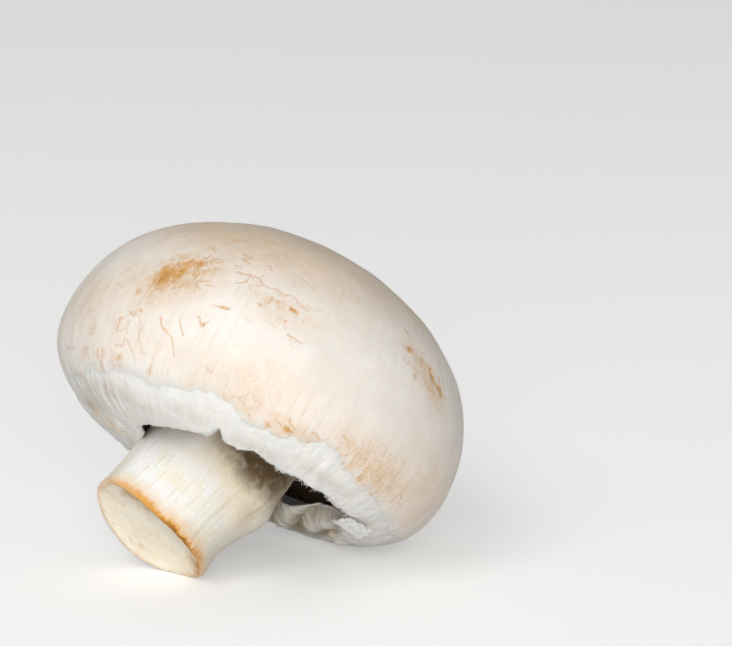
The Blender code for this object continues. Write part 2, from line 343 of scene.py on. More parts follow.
def new_look(name, rough, scatter=0.0):
    """A material, its tree and its shader. Scatter is the share of light that goes in and out."""
    look = bpy.data.materials.new(name)
    look.use_nodes = True
    shader = look.node_tree.nodes["Principled BSDF"]
    shader.inputs["Roughness"].default_value = rough
    shader.inputs["Subsurface Weight"].default_value = scatter
    shader.inputs["Subsurface Radius"].default_value = (1.0, 0.6, 0.4)
    shader.inputs["Subsurface Scale"].default_value = 1.2 * MM
    return look, look.node_tree, shader


def object_place(tree):
    return add(tree, "ShaderNodeTexCoord").outputs["Object"]


def relief(tree, shader, height, depth):
    """Shades the height map as relief this deep, in metres."""
    inputs = {"Height": height, "Distance": depth, "Strength": 1.0}
    made = add(tree, "ShaderNodeBump", inputs)
    tree.links.new(made.outputs["Normal"], shader.inputs["Normal"])


# %% [markdown]
# ## Camera
# The mushroom is seen from a little above the table, through a long lens that hardly
# bends its shape. The camera aims beside the cap's centre, so the cap stands left of the
# middle of the picture.

# %% Camera
cap_centre = Vector(CAP_CENTRE)
aim = cap_centre + Vector((13.28, 2.01, 9.47)) * MM
down = math.radians(12.0)
camera = in_scene("camera", bpy.data.cameras.new("camera"))
camera.data.lens = 169.4
camera.data.sensor_width = 36.0
camera.data.clip_start = 0.01
camera.location = aim + Vector((0.0, -math.cos(down), math.sin(down))) * 0.42
camera.rotation_euler = (math.radians(90.0) - down, 0.0, 0.0)
bpy.context.scene.camera = camera


# %% [markdown]
# ## Where the skin is marked
# A white mushroom bruises orange-brown wherever it is touched. Each mark is an oval patch
# of skin, given by its angle, its distance from the crown, its two half sizes and a tilt.
# The patches are stored on the skin's points as numbers, and the material later breaks
# them up into blotches, because a painted oval with a soft edge would look airbrushed.

# %% Patches of skin
def spot(angle, run, middle, across, along, tilt=0.0):
    """1 at the middle of an oval patch, falling to nothing at about twice its half sizes."""
    centre, centre_run = math.radians(middle[0]), middle[1] * MM
    aside = ((angle - centre + math.pi) % TAU - math.pi) * skin_section(angle, run)[0]
    below = run - centre_run
    turn = math.radians(tilt)
    u = aside * math.cos(turn) + below * math.sin(turn)
    v = below * math.cos(turn) - aside * math.sin(turn)
    return np.exp(-((u / (across * MM)) ** 2) - (v / (along * MM)) ** 2)


def patches(angle, run, listed):
    """All the listed patches together: (angle, run, half sizes, tilt, strength)."""
    total = np.zeros(np.broadcast(angle, run).shape)
    for where, from_crown, across, along, tilt, strength in listed:
        here = strength * spot(angle, run, (where, from_crown), across, along, tilt)
        total = np.maximum(total, here)
    return total


# Degrees, millimetres from the crown, half sizes in millimetres, degrees, strength
BRUISES = (
    (191.5, 30.6, 6.8, 3.6, -50.0, 0.62),
    (190.5, 31.0, 4.1, 2.3, -52.0, 0.98),
    (196.5, 28.4, 2.0, 1.0, -45.0, 0.9),
    (196.5, 32.6, 2.4, 0.9, -30.0, 0.55),
    (181.0, 43.2, 5.5, 2.2, 0.0, 0.64),
    (170.0, 42.6, 3.0, 2.0, 0.0, 0.5),
    (200.0, 42.6, 3.0, 1.6, 0.0, 0.5),
    (210.5, 33.2, 2.0, 0.35, -8.0, 0.75),
    (211.5, 28.4, 0.9, 0.5, 80.0, 0.5),
    (189.0, 36.8, 0.7, 0.55, 0.0, 0.7),
    (207.5, 36.0, 0.9, 0.45, 0.0, 0.7),
    (222.5, 29.5, 1.5, 0.35, -10.0, 0.7),
    (227.0, 29.6, 1.1, 0.4, 10.0, 0.7),
    (225.5, 31.5, 0.9, 0.6, -40.0, 0.65),
    (265.0, 25.6, 1.3, 0.8, 30.0, 0.85),
    (271.0, 26.0, 0.7, 0.6, 0.0, 0.7),
    (275.5, 26.9, 1.5, 1.0, 40.0, 0.9),
    (280.5, 28.3, 1.0, 0.6, 50.0, 0.95),
    (267.5, 28.9, 0.6, 0.6, 0.0, 0.75),
    (218.0, 43.6, 1.9, 0.9, 0.0, 0.7),
    (234.0, 43.3, 1.3, 0.6, 10.0, 0.8),
    (240.0, 42.6, 1.0, 0.5, 30.0, 0.85),
    (248.0, 43.1, 1.3, 0.8, 20.0, 1.0),
    (253.5, 43.3, 0.8, 0.5, 0.0, 0.95),
    (257.0, 42.6, 1.4, 0.45, 0.0, 0.85),
    (266.0, 43.0, 1.2, 0.6, 10.0, 0.8),
    (273.0, 43.4, 1.0, 0.7, 0.0, 0.95),
    (286.0, 42.4, 1.0, 0.5, 0.0, 0.5),
    (90.0, 30.0, 2.4, 1.4, 30.0, 0.8),
    (30.0, 36.0, 1.6, 1.0, -20.0, 0.6),
    (325.0, 34.0, 2.0, 0.8, 20.0, 0.7),
    (55.0, 20.0, 1.5, 0.8, 60.0, 0.6),
)
HAZES = (
    (194.0, 31.0, 7.5, 4.5, -45.0, 0.85),
    (165.0, 36.0, 9.0, 4.0, 0.0, 0.45),
    (190.0, 40.0, 8.0, 3.0, 0.0, 0.35),
    (188.0, 46.5, 7.0, 1.8, 0.0, 0.85),
    (205.0, 45.0, 5.0, 1.5, 0.0, 0.5),
    (222.0, 43.2, 6.0, 1.9, 0.0, 0.8),
    (222.0, 30.0, 6.0, 3.0, 0.0, 0.4),
    (240.0, 42.5, 5.0, 2.0, 0.0, 0.75),
    (273.0, 27.4, 5.0, 2.2, 35.0, 0.8),
    (268.0, 41.5, 9.0, 3.2, 0.0, 0.75),
    (290.0, 40.0, 9.0, 6.0, 0.0, 0.5),
    (197.0, 22.0, 16.0, 6.0, 0.0, 0.8),
    (185.0, 33.5, 9.0, 4.0, 0.0, 0.55),
    (250.0, 44.0, 14.0, 3.0, 0.0, 0.7),
    (275.0, 42.0, 10.0, 5.0, 0.0, 0.5),
    (228.0, 39.0, 7.0, 4.0, 0.0, 0.45),
    (150.0, 26.0, 7.0, 5.0, 0.0, 0.3),
    (90.0, 30.0, 7.0, 5.0, 0.0, 0.6),
    (40.0, 38.0, 10.0, 5.0, 0.0, 0.5),
    (325.0, 36.0, 9.0, 5.0, 0.0, 0.5),
)
# Where the skin is scuffed into many fine scratches, and where it is cracked into a net
SCUFFS = (
    (194.0, 31.0, 8.0, 4.5, -40.0, 1.0),
    (175.0, 38.5, 10.0, 3.5, 0.0, 0.8),
    (222.0, 30.0, 7.0, 3.8, 0.0, 0.6),
    (225.0, 42.0, 10.0, 1.6, 0.0, 0.9),
    (190.0, 46.0, 8.0, 1.6, 0.0, 0.7),
    (272.0, 27.0, 5.0, 2.5, 35.0, 0.7),
    (265.0, 42.5, 8.0, 2.0, 0.0, 0.9),
    (90.0, 30.0, 7.0, 4.0, 0.0, 0.9),
    (325.0, 35.0, 8.0, 4.0, 0.0, 0.8),
    (35.0, 36.0, 7.0, 4.0, 0.0, 0.8),
)
CRACKS = ((266.0, 41.0, 8.0, 2.5, 0.0, 1.0), (224.0, 40.0, 6.0, 1.5, 0.0, 0.5))

# Grey-brown patches along the edge of the skin, on skin and veil alike
EDGE_GREY_PATCHES = (
    (196.0, 47.6, 3.0, 1.0, 0.0, 0.3),
    (180.0, 46.8, 4.5, 1.3, 0.0, 0.6),
    (163.0, 48.2, 4.0, 2.4, 0.0, 0.75),
    (150.0, 50.0, 4.0, 1.8, 0.0, 0.6),
    (212.0, 46.0, 2.5, 0.8, 0.0, 0.4),
    (236.0, 46.6, 3.0, 0.8, 0.0, 0.4),
    (258.0, 45.4, 4.0, 0.8, 0.0, 0.35),
)

# %% [markdown]
# ## Scratches
# Blotches alone don't look like a real skin: it also has thin curved scratches. One way
# is a chain of nodes for each, but a hundred chains are too many for a renderer. So each
# point of the skin stores how far it is past the end of the nearest scratch, how far to
# its side, and how far away. Those numbers change evenly from point to point, so the
# material can draw a line from them that is much finer than the mesh.

# %% Scratches by name
SCRATCHES = (  # width in millimetres, strength, then points: degrees, millimetres from the crown
    (0.3, 0.9, ((207.6, 27.9), (210.0, 27.4), (212.4, 27.6))),
    (0.26, 0.9, ((212.4, 27.5), (211.8, 28.6), (209.8, 29.6))),
    (0.28, 0.8, ((207.0, 25.4), (209.4, 25.8))),
    (0.26, 0.8, ((196.6, 37.0), (197.8, 38.0), (201.4, 38.7), (203.8, 40.3))),
    (0.24, 0.8, ((201.6, 36.4), (204.2, 37.9))),
    (0.22, 0.6, ((189.6, 37.4), (191.8, 39.4), (193.8, 41.4), (195.6, 41.2))),
    (0.22, 0.6, ((188.4, 40.4), (192.4, 42.2))),
    (0.4, 0.8, ((183.2, 38.2), (183.0, 39.8))),
    (0.24, 0.7, ((184.4, 41.4), (187.2, 41.1), (187.4, 40.2))),
    (0.26, 0.6, ((154.0, 42.8), (164.0, 42.3))),
    (0.26, 0.7, ((211.0, 27.2), (218.0, 28.1), (223.0, 27.8), (230.6, 28.7))),
    (0.3, 0.8, ((218.4, 30.9), (220.6, 30.2), (220.2, 29.2))),
    (0.28, 0.8, ((228.6, 33.0), (232.8, 32.7))),
    (0.24, 0.6, ((214.6, 29.5), (217.0, 29.8))),
    (0.2, 0.5, ((224.0, 24.2), (229.4, 25.1))),
    (0.26, 0.8, ((263.4, 22.6), (267.2, 23.8))),
    (0.3, 1.0, ((281.0, 26.2), (281.4, 28.4))),
    (0.3, 0.9, ((246.6, 41.4), (248.8, 42.0))),
    (0.26, 0.8, ((238.6, 41.4), (241.4, 42.0))),
    (0.26, 0.6, ((253.6, 40.2), (257.0, 40.9))),
    (0.28, 0.8, ((205.8, 35.4), (208.0, 36.5), (209.2, 35.3))),
)


def chance_scratches(count, seed):
    """Short hooked scratches, thrown at random over the scuffed patches."""
    draw = np.random.default_rng(seed)
    made = []
    for _ in range(count):
        angle, run, across, along, tilt, strength = SCUFFS[draw.integers(len(SCUFFS))]
        u, v = draw.normal(0.0, 0.55, 2) * (across, along)
        turn = math.radians(tilt)
        aside, below = u * math.cos(
            turn
        ) - v * math.sin(turn), u * math.sin(turn) + v * math.cos(turn)
        radius = float(skin_section(0.0, (run + below) * MM)[0]) / MM
        here = np.array([angle + math.degrees(aside / radius), run + below])
        lie = math.radians(draw.normal(0.0, 38.0)) + (
            math.pi / 2.0 if angle < 190.0 and run > 37.0 else 0.0
        )
        points = [tuple(here)]
        for bend in (0.0, draw.normal(0.0, 1.0)):
            length = draw.uniform(0.2, 0.8)
            step = length * np.array([math.cos(lie + bend), math.sin(lie + bend)])
            here = here + np.array([math.degrees(step[0] / radius), step[1]])
            points.append(tuple(here))
        made.append((draw.uniform(0.14, 0.32), strength * draw.uniform(0.25, 0.9), tuple(points)))
    return tuple(made)


# %% Where the nearest scratch is
def scratch_map(angle, run, listed):
    """For each point, in scratch widths: past its end, to its side, away. Then its strength."""
    place = at(angle, CAP_RADIUS, run)
    shake = [0.32 * MM * layered(place, 1.1 * MM, seed, 3) for seed in (91, 95)]
    radius = skin_section(angle, run)[0]
    found = np.full(angle.shape + (3,), 50.0)
    strength = np.zeros(angle.shape)
    for width, strong, points in listed:
        pieces = len(points) - 1
        for i, (start, end) in enumerate(zip(points, points[1:])):
            middle = math.radians((start[0] + end[0]) / 2.0)
            middle_run = (start[1] + end[1]) / 2.0 * MM
            turned = (angle - middle + math.pi) % TAU - math.pi
            near = (np.abs(turned * radius) < 7.0 * MM) & (np.abs(run - middle_run) < 5.0 * MM)
            x = (turned * radius + shake[0])[near]
            y = (run - middle_run + shake[1])[near]
            local = float(skin_section(middle, middle_run)[0])
            line = np.array([math.radians(end[0] - start[0]) * local, (end[1] - start[1]) * MM])
            half = np.linalg.norm(line) / 2.0
            line /= 2.0 * half
            u = x * line[0] + y * line[1]
            taper = 1.0 - 0.55 * (i + np.clip(u / half / 2.0 + 0.5, 0.0, 1.0)) / pieces
            past, aside = (np.abs(u) - half), y * line[0] - x * line[1]
            away = np.hypot(np.maximum(past, 0.0), aside)
            values = np.stack([past, aside, away], axis=-1) / (width * MM * taper)[..., None]
            closer = values[..., 2] < found[near][..., 2]
            chosen = found[near]
            chosen[closer] = values[closer]
            found[near] = chosen
            strengths = strength[near]
            strengths[closer] = strong
            strength[near] = strengths
    return found, strength


# %% [markdown]
# ## Cap skin: the finish
# The skin is creamy white flesh that lets a little light in, so it scatters below its
# surface. Over it come, from wide to fine: a tan haze, streaks that run from crown to
# margin, orange-brown blotches, scuffs and scratches. Streaks and scratches follow the
# skin, so they read its own grain coordinates, stored on the points. The rest reads the
# object's plain coordinates.

# %% Cap skin look
COTTON_WHITE, EDGE_GREY = colour("e6e4df"), colour("b5a491")
cap_look, tree, shader = new_look("cap_skin", 0.5, 0.35)
shader.inputs["Specular IOR Level"].default_value = 0.35
place = object_place(tree)
grain = mark_of(tree, "grain", "Vector")
drawn_out = add(tree, "ShaderNodeMapping", {"Vector": grain, "Scale": (1.0, 1.0, 0.09)}).outputs[0]
stroke_place = add(
    tree, "ShaderNodeMapping", {"Vector": grain, "Scale": (1.0, 1.0, 0.3)}
).outputs[0]

broad = cloud(tree, place, 9.0 * MM, 3.0)
mottle = cloud(tree, place, 1.3 * MM, 7.0, 0.66, 0.6)
fine = cloud(tree, place, 0.45 * MM, 3.0)
streaks = cloud(tree, drawn_out, 0.5 * MM, 4.0, 0.6)
bruise, haze = mark_of(tree, "bruise"), mark_of(tree, "haze")
crack = mark_of(tree, "crack")
streaky, crown_tan = mark_of(tree, "streaky"), mark_of(tree, "crown_tan")

shade = blend_colour(tree, ramp(tree, broad, 0.35, 0.65), colour("ebe4db"), colour("f3eee8"))
shade = blend_colour(
    tree,
    maths(tree, "MULTIPLY", crown_tan, ramp(tree, mottle, 0.2, 0.8, 0.5, 0.8)),
    shade,
    colour("d9c2a5"),
)
haze_here = maths(tree, "MULTIPLY", haze, ramp(tree, mottle, 0.3, 0.7, 0.4, 0.9))
shade = blend_colour(tree, haze_here, shade, colour("dfba8a"))
streak_here = maths(tree, "MULTIPLY", streaky, ramp(tree, streaks, 0.5, 0.75, 0.0, 0.5))
shade = blend_colour(tree, streak_here, shade, colour("d6ab7a"))

# %% Blotches and strokes
strokes = maths(tree, "SUBTRACT", cloud(tree, stroke_place, 0.9 * MM, 6.0, 0.68, 0.8), 0.5)
spots = maths(tree, "SUBTRACT", mottle, 0.5)
uneven = add(
    tree,
    "ShaderNodeMix",
    {0: maths(tree, "MULTIPLY", streaky, 0.7, clamp=True), 2: spots, 3: strokes},
).outputs[0]
uneven = maths(tree, "MULTIPLY_ADD", uneven, 2.6, bruise)
blotch = ramp(tree, uneven, 0.38, 0.95)
shade = blend_colour(tree, maths(tree, "MULTIPLY", blotch, 0.85), shade, colour("d69c4c"))
shade = blend_colour(tree, ramp(tree, uneven, 0.8, 1.35, 0.0, 0.85), shade, colour("96621c"))

scratch = add(tree, "ShaderNodeSeparateXYZ", {0: mark_of(tree, "scratch", "Vector")}).outputs
past = maths(tree, "MAXIMUM", scratch[0], 0.0)
away = maths(
    tree,
    "SQRT",
    maths(
        tree,
        "ADD",
        maths(tree, "MULTIPLY", past, past),
        maths(tree, "MULTIPLY", scratch[1], scratch[1]),
    ),
)
line = ramp(tree, maths(tree, "MULTIPLY_ADD", mottle, 1.4, away), 0.45, 1.7, 1.0, 0.0)
line = maths(tree, "MULTIPLY", line, ramp(tree, scratch[2], 1.5, 3.0, 1.0, 0.0))
scratched = maths(tree, "MULTIPLY", line, mark_of(tree, "scratch_strength"))
shade = blend_colour(tree, maths(tree, "MULTIPLY", scratched, 0.8), shade, colour("d49a48"))

wrinkled = add(tree, "ShaderNodeMapping", {"Vector": grain, "Scale": (1.0, 1.0, 0.4)}).outputs[0]
wrinkles = maths(
    tree, "ABSOLUTE", maths(tree, "SUBTRACT", cloud(tree, wrinkled, 0.8 * MM, 3.0, 0.6, 1.2), 0.5)
)
cracks = maths(tree, "MULTIPLY", ramp(tree, wrinkles, 0.0, 0.05, 1.0, 0.0), crack)
shade = blend_colour(tree, maths(tree, "MULTIPLY", cracks, 0.5), shade, colour("cf9c5c"))
rough_edge = maths(
    tree,
    "MULTIPLY_ADD",
    mottle,
    5.0 * MM,
    maths(tree, "SUBTRACT", mark_of(tree, "to_edge"), 2.6 * MM),
)
fading = ramp(tree, rough_edge, 0.0, 3.0 * MM, 1.0, 0.0)
shade = blend_colour(tree, fading, shade, COTTON_WHITE)
greyed = maths(tree, "MULTIPLY", mark_of(tree, "edge_grey"), ramp(tree, mottle, 0.3, 0.62, 0.25, 1.0))
shade = blend_colour(tree, greyed, shade, EDGE_GREY)
tree.links.new(shade, shader.inputs["Base Color"])

# %% Cap skin relief
height = maths(tree, "MULTIPLY_ADD", streaks, 0.6, fine)
height = maths(tree, "MULTIPLY_ADD", scratched, -1.2, height)
height = maths(tree, "MULTIPLY_ADD", blotch, maths(tree, "MULTIPLY", mottle, -1.5), height)
relief(tree, shader, height, 0.05 * MM)
wetness = ramp(tree, blotch, 0.0, 1.0, 0.5, 0.62)
tree.links.new(wetness, shader.inputs["Roughness"])


# %% [markdown]
# ## Cap skin: the shape
# A cloth of rings runs from the crown over the widest ring and round the rolled-in
# margin. Noise lifts it off its smooth section: wide dents, fine fibres towards the
# margin, a sunken bruise and small flaking steps on the lower side. Sculpting would give
# the same, but a rule can be read and changed. The hollow below is plain, for the gills.

# %% Cap skin shape
def skin_edge(angle):
    """Where the skin ends, as a turn round the curl: it peeled back further in two places."""
    peeled = 7.0 * bump(angle_between(angle, math.radians(216.0)), 0.16)
    peeled = peeled + 7.0 * bump(angle_between(angle, math.radians(252.0)), 0.15)
    waves = 2.0 * np.sin(5.0 * angle + 0.4) + 1.0 * np.sin(11.0 * angle + 1.0)
    ragged = 3.6 * layered(at(angle, CAP_RADIUS, 0.0), 1.5 * MM, 71, 4)
    return skin_turn(angle) + np.radians(waves + ragged - peeled)


FLAKING = (
    (265.0, 46.0, 12.0, 3.4, 0.0, 1.0),
    (228.0, 44.0, 6.0, 1.4, 0.0, 0.7),
    (170.0, 44.5, 7.0, 1.5, 0.0, 0.6),
)


def skin_relief(angle, run):
    """How far the skin stands off its smooth section."""
    smooth_place = at(angle, *skin_section(angle, run))
    grain = at(angle, CAP_RADIUS, run)
    off = 0.17 * MM * layered(smooth_place, 11.0 * MM, 3)
    off += 0.04 * MM * layered(smooth_place, 3.0 * MM, 21, 2)
    fibres = layered(grain * np.array([1.0, 1.0, 0.12]), 1.1 * MM, 31, 3)
    off += 0.028 * MM * fibres * smooth(8.0 * MM, 25.0 * MM, run)
    bruised = patches(angle, run, BRUISES[:3])
    off -= 0.12 * MM * bruised * (0.7 + 0.6 * roughness(smooth_place, 0.7 * MM, 5))
    flaking = patches(angle, run, FLAKING)
    steps_place = grain * np.array([0.25, 0.25, 1.0])
    flakes = np.abs(layered(steps_place, 0.9 * MM, 81, 2))
    off += 0.16 * MM * flaking * (0.5 - flakes)
    to_edge = DOME_LENGTH + CURL * skin_edge(angle) - run
    return off - 0.5 * MM * (1.0 - smooth(-0.6 * MM, 2.6 * MM, to_edge))


def on_skin(angle, run, lift=0.0):
    """Points of the finished skin, or lifted off it, in the cap's frame."""
    step = 0.05 * MM
    before, after = skin_section(angle, run - step), skin_section(angle, run + step)
    along = np.stack([after[0] - before[0], after[1] - before[1]], axis=-1)
    along /= np.linalg.norm(along, axis=-1, keepdims=True)
    radius, height = skin_section(angle, run)
    off = skin_relief(angle, run) + lift
    return at(angle, radius - along[..., 1] * off, height + along[..., 0] * off)


# %% Cap skin piece
CAP_SIDES, SKIN_RINGS = 520, 176
angle = np.linspace(0.0, TAU, CAP_SIDES, endpoint=False)
edge_run = DOME_LENGTH + CURL * skin_edge(angle)
run = np.linspace(0.0, 1.0, SKIN_RINGS + 1)[1:, None] * edge_run[None, :]
angle_grid = np.broadcast_to(angle, run.shape)
outside = on_skin(angle_grid, run)
inside = []
for depth in (0.2, 0.6, 1.0):
    radius, height = curl_point(
        skin_edge(angle) - math.radians(2.0 * depth), MARGIN_DEPTH * depth, angle
    )
    inside.append(at(angle, radius * cap_swell(angle), height))
hollow = ((ROOF_RIM[0] + 0.3 * MM, ROOF_RIM[1] - 1.2 * MM), ROOF_RIM, ROOF_MOUTH, SOCKET_TOP)
inside += [at(angle, radius, height) for radius, height in hollow]


def with_hollow(values, under=0.0):
    """Carries a mark on to the hollow's rings."""
    rows = np.full((len(inside),) + values.shape[1:], under)
    return np.concatenate([values, rows])


near_margin = smooth(36.0 * MM, 41.0 * MM, run)
left_side = bump(angle_between(angle_grid, math.radians(180.0)), 0.6)
cap_marks = {
    "bruise": with_hollow(patches(angle_grid, run, BRUISES)),
    "haze": with_hollow(patches(angle_grid, run, HAZES)),
    "crack": with_hollow(patches(angle_grid, run, CRACKS)),
    "streaky": with_hollow(
        np.maximum(0.15 + 0.55 * near_margin, 0.8 * left_side * smooth(24.0 * MM, 33.0 * MM, run))
    ),
    "crown_tan": with_hollow(1.0 - smooth(13.0 * MM, 27.0 * MM, run)),
    "to_edge": with_hollow(edge_run[None, :] - run),
    "edge_grey": with_hollow(patches(angle_grid, run, EDGE_GREY_PATCHES)),
    "grain": with_hollow(at(angle_grid, CAP_RADIUS, run)),
}
scratch, strength = scratch_map(angle_grid, run, SCRATCHES + chance_scratches(230, 12))
cap_marks["scratch"] = with_hollow(scratch, 50.0)
cap_marks["scratch_strength"] = with_hollow(strength)
crown = on_skin(np.array([0.0]), np.array([0.06 * MM]))[0] * np.array([0.0, 0.0, 1.0])
ends = np.array([crown, (0.0, 0.0, SOCKET_TOP[1])])
cap = grid_piece(
    "cap_flesh",
    lay_down(np.concatenate([outside, np.array(inside)])),
    cap_look,
    lay_down(ends),
    cap_marks,
)


# %% [markdown]
# ## Stem
# The stem is a stout tube of long fibres round a bent centre line. A knife cut it off at
# a slant: the middle of the cut dried and sank, and the torn skin round the rim turned
# orange-brown. One grid makes both side and cut, and a stored distance from the rim tells
# the material where to turn brown.

# %% Stem sizes
STEM_TOP = np.array([-0.6, 0.0, 5.5]) * MM
STEM_BEND = np.array([-1.43, 0.0, -6.32]) * MM
STEM_FOOT = np.array([-6.45, 0.0, -20.75]) * MM
STEM_RADII = (7.0, 7.6, 7.8, 7.9, 8.0, 8.0, 8.0, 8.0, 8.0, 7.95, 7.95, 8.05, 8.25)
STEM_LENGTH = 27.0 * MM
DISH = ((1.0, 0.0), (0.93, 0.05), (0.82, 0.45), (0.6, 0.9), (0.32, 1.15), (0.0, 1.25))
SWELLING_SIDE = math.radians(315.0)
SWELLING = 2.1 * MM
HEEL_SIDE = math.radians(10.0)
HEEL = 0.25 * MM
KNOB_LEVEL = 0.67
KNOB_HEIGHT = 0.5 * MM
CUT_WARP = 0.5 * MM
CUT_WARP_SIDE = math.radians(60.0)


def stem_centre(share):
    share = np.asarray(share)[..., None]
    rest = 1.0 - share
    point = rest * rest * STEM_TOP + 2.0 * rest * share * STEM_BEND + share * share * STEM_FOOT
    along = rest * (STEM_BEND - STEM_TOP) + share * (STEM_FOOT - STEM_BEND)
    return point, along / np.linalg.norm(along, axis=-1, keepdims=True)


def stem_radius(share, angle):
    plain = np.interp(share, np.linspace(0.0, 1.0, len(STEM_RADII)), STEM_RADII) * MM
    side = bump(angle_between(angle, SWELLING_SIDE), 0.8)
    swelling = SWELLING * side * smooth(0.1, 0.4, share) * (1.0 - smooth(0.62, 0.92, share))
    knob = KNOB_HEIGHT * bump(
        angle_between(angle, SWELLING_SIDE), 0.4
    ) * bump(share - KNOB_LEVEL, 0.07)
    waves = 0.12 * MM * np.sin(5.0 * angle + 4.0 * share) + 0.08 * MM * np.sin(9.0 * angle)
    heel = HEEL * bump(angle_between(angle, HEEL_SIDE), 0.8) * smooth(0.85, 1.0, share)
    return plain + swelling + knob + heel + waves


def stem_point(share, angle, scale=1.0, lift=0.0, off=0.0):
    centre, along = stem_centre(share)
    side = np.array([0.0, 1.0, 0.0])
    across = np.cross(along, side)
    across /= np.linalg.norm(across, axis=-1, keepdims=True)
    radius = ((stem_radius(share, angle) + off) * scale)[..., None]
    offset = across * np.cos(angle)[..., None] * radius + side * np.sin(angle)[..., None] * radius
    warp = CUT_WARP * np.cos(2.0 * (angle - CUT_WARP_SIDE)) * smooth(0.8, 1.0, share) * scale
    return centre + along * (warp - lift)[..., None] + offset


# %% Stem look
stem_look, tree, shader = new_look("stem_flesh", 0.6, 0.35)
shader.inputs["Specular IOR Level"].default_value = 0.3
place = object_place(tree)
grain = mark_of(tree, "grain", "Vector")
cut, from_rim, rim_side = mark_of(tree, "cut"), mark_of(tree, "from_rim"), mark_of(tree, "rim_side")
stain_and_cap_shadow = mark_of(tree, "stain_and_cap_shadow")
mottle = cloud(tree, place, 2.0 * MM, 5.0, 0.6, 0.6)
fine = cloud(tree, place, 0.4 * MM, 4.0, 0.6)
broad = cloud(tree, place, 5.0 * MM, 3.0)
fibres = cloud(tree, grain, 0.45 * MM, 6.0, 0.65)
side_shade = blend_colour(tree, ramp(tree, broad, 0.35, 0.65), colour("fcf3e2"), colour("fdfbf8"))
side_shade = blend_colour(
    tree, ramp(tree, fibres, 0.5, 0.72, 0.0, 0.4), side_shade, colour("d8c199")
)
# Under the cap the stem turns ochre, then dark brown: partly a real stain, partly painted shadow that the cap
# casts on it.
stain_and_shadow_here = maths(tree, "MULTIPLY", stain_and_cap_shadow, ramp(tree, mottle, 0.25, 0.65, 0.6, 1.0))
pale_stain_and_shadow = maths(tree, "MULTIPLY", stain_and_shadow_here, 2.0, clamp=True)
side_shade = blend_colour(
    tree, maths(tree, "MULTIPLY", pale_stain_and_shadow, 0.65), side_shade, colour("d8c49e")
)
# The dark brown step is mostly painted shadow under the cap.
side_shade = blend_colour(tree, ramp(tree, stain_and_shadow_here, 0.25, 0.95), side_shade, colour("6c573c"))
cut_shade = blend_colour(tree, ramp(tree, broad, 0.35, 0.65), colour("faeeda"), colour("fcf5e6"))
cut_shade = blend_colour(tree, ramp(tree, mottle, 0.5, 0.75, 0.0, 0.5), cut_shade, colour("dfc09a"))
cut_shade = blend_colour(
    tree,
    maths(tree, "MULTIPLY", mark_of(tree, "cut_stain"), ramp(tree, mottle, 0.3, 0.6)),
    cut_shade,
    colour("c39250"),
)
shade = blend_colour(tree, cut, side_shade, cut_shade)
ragged = maths(tree, "MULTIPLY_ADD", maths(tree, "SUBTRACT", mottle, 0.5), 1.5 * MM, from_rim)
ragged = maths(tree, "MULTIPLY_ADD", maths(tree, "SUBTRACT", fibres, 0.5), 0.9 * MM, ragged)
orange = maths(
    tree,
    "MULTIPLY",
    ramp(tree, maths(tree, "ABSOLUTE", ragged), 0.2 * MM, 0.95 * MM, 1.0, 0.0),
    rim_side,
)
shade = blend_colour(tree, orange, shade, colour("d88a10"))
spill = maths(
    tree,
    "MULTIPLY",
    ramp(tree, ragged, 0.2 * MM, 2.6 * MM, 0.55, 0.0),
    maths(tree, "MULTIPLY", rim_side, maths(tree, "SUBTRACT", 1.0, cut)),
)
shade = blend_colour(tree, spill, shade, colour("e6b45c"))
dark = maths(
    tree,
    "MULTIPLY",
    ramp(tree, maths(tree, "ABSOLUTE", ragged), 0.05 * MM, 0.5 * MM, 1.0, 0.0),
    mark_of(tree, "rim_dark"),
)
shade = blend_colour(tree, dark, shade, colour("98600f"))
tree.links.new(shade, shader.inputs["Base Color"])
height = maths(tree, "MULTIPLY_ADD", fibres, 1.6, fine)
relief(tree, shader, height, 0.07 * MM)

# %% Stem piece
STEM_SIDES, STEM_RINGS, DISH_RINGS = 320, 200, 60
angle = np.linspace(0.0, TAU, STEM_SIDES, endpoint=False)


def stem_grain(share, angle):
    """Coordinates that follow the fibres: drawn out along the stem, with a slight twist."""
    return at(angle + 0.35 * share, 8.0 * MM, share * STEM_LENGTH * 0.1)


def stem_relief(share, angle):
    fibres = layered(stem_grain(share, angle), 1.5 * MM, 41, 4)
    creases = -np.abs(layered(stem_grain(share, angle), 2.6 * MM, 45, 2))
    dents = roughness(at(angle, 8.0 * MM, share * STEM_LENGTH), 4.0 * MM, 47)
    return MM * (0.05 * fibres + 0.12 * creases + 0.08 * dents)


share = np.linspace(0.0, 1.0, STEM_RINGS)[:, None] + 0.0 * angle[None, :]
angle_grid = np.broadcast_to(angle, share.shape)
rim_round = 0.35 * MM * smooth(1.0 - 0.7 * MM / STEM_LENGTH, 1.0, share) ** 2
side_rows = stem_point(share, angle_grid, off=stem_relief(share, angle_grid) - rim_round)
cut_scale = np.linspace(0.985, 0.02, DISH_RINGS)[:, None] + 0.0 * angle[None, :]
depth = np.interp(
    1.0 - cut_scale, [1.0 - scale for scale, _ in DISH], [deep for _, deep in DISH]
) * MM
groove = 0.3 * MM * bump(cut_scale - 0.86, 0.07) * bump(
    angle_between(angle, math.radians(215.0)), 0.8
)
flesh = at(angle, 8.0 * MM * cut_scale, 0.0)
rough_cut = 0.07 * MM * layered(flesh, 1.6 * MM, 49, 3) * smooth(1.0, 0.9, cut_scale)
cut_rows = stem_point(
    np.ones_like(cut_scale),
    np.broadcast_to(angle, cut_scale.shape),
    cut_scale,
    depth + groove + rough_cut,
    -0.35 * MM,
)


def both(side_values, cut_values):
    return np.concatenate([side_values + 0.0 * share, cut_values + 0.0 * cut_scale])


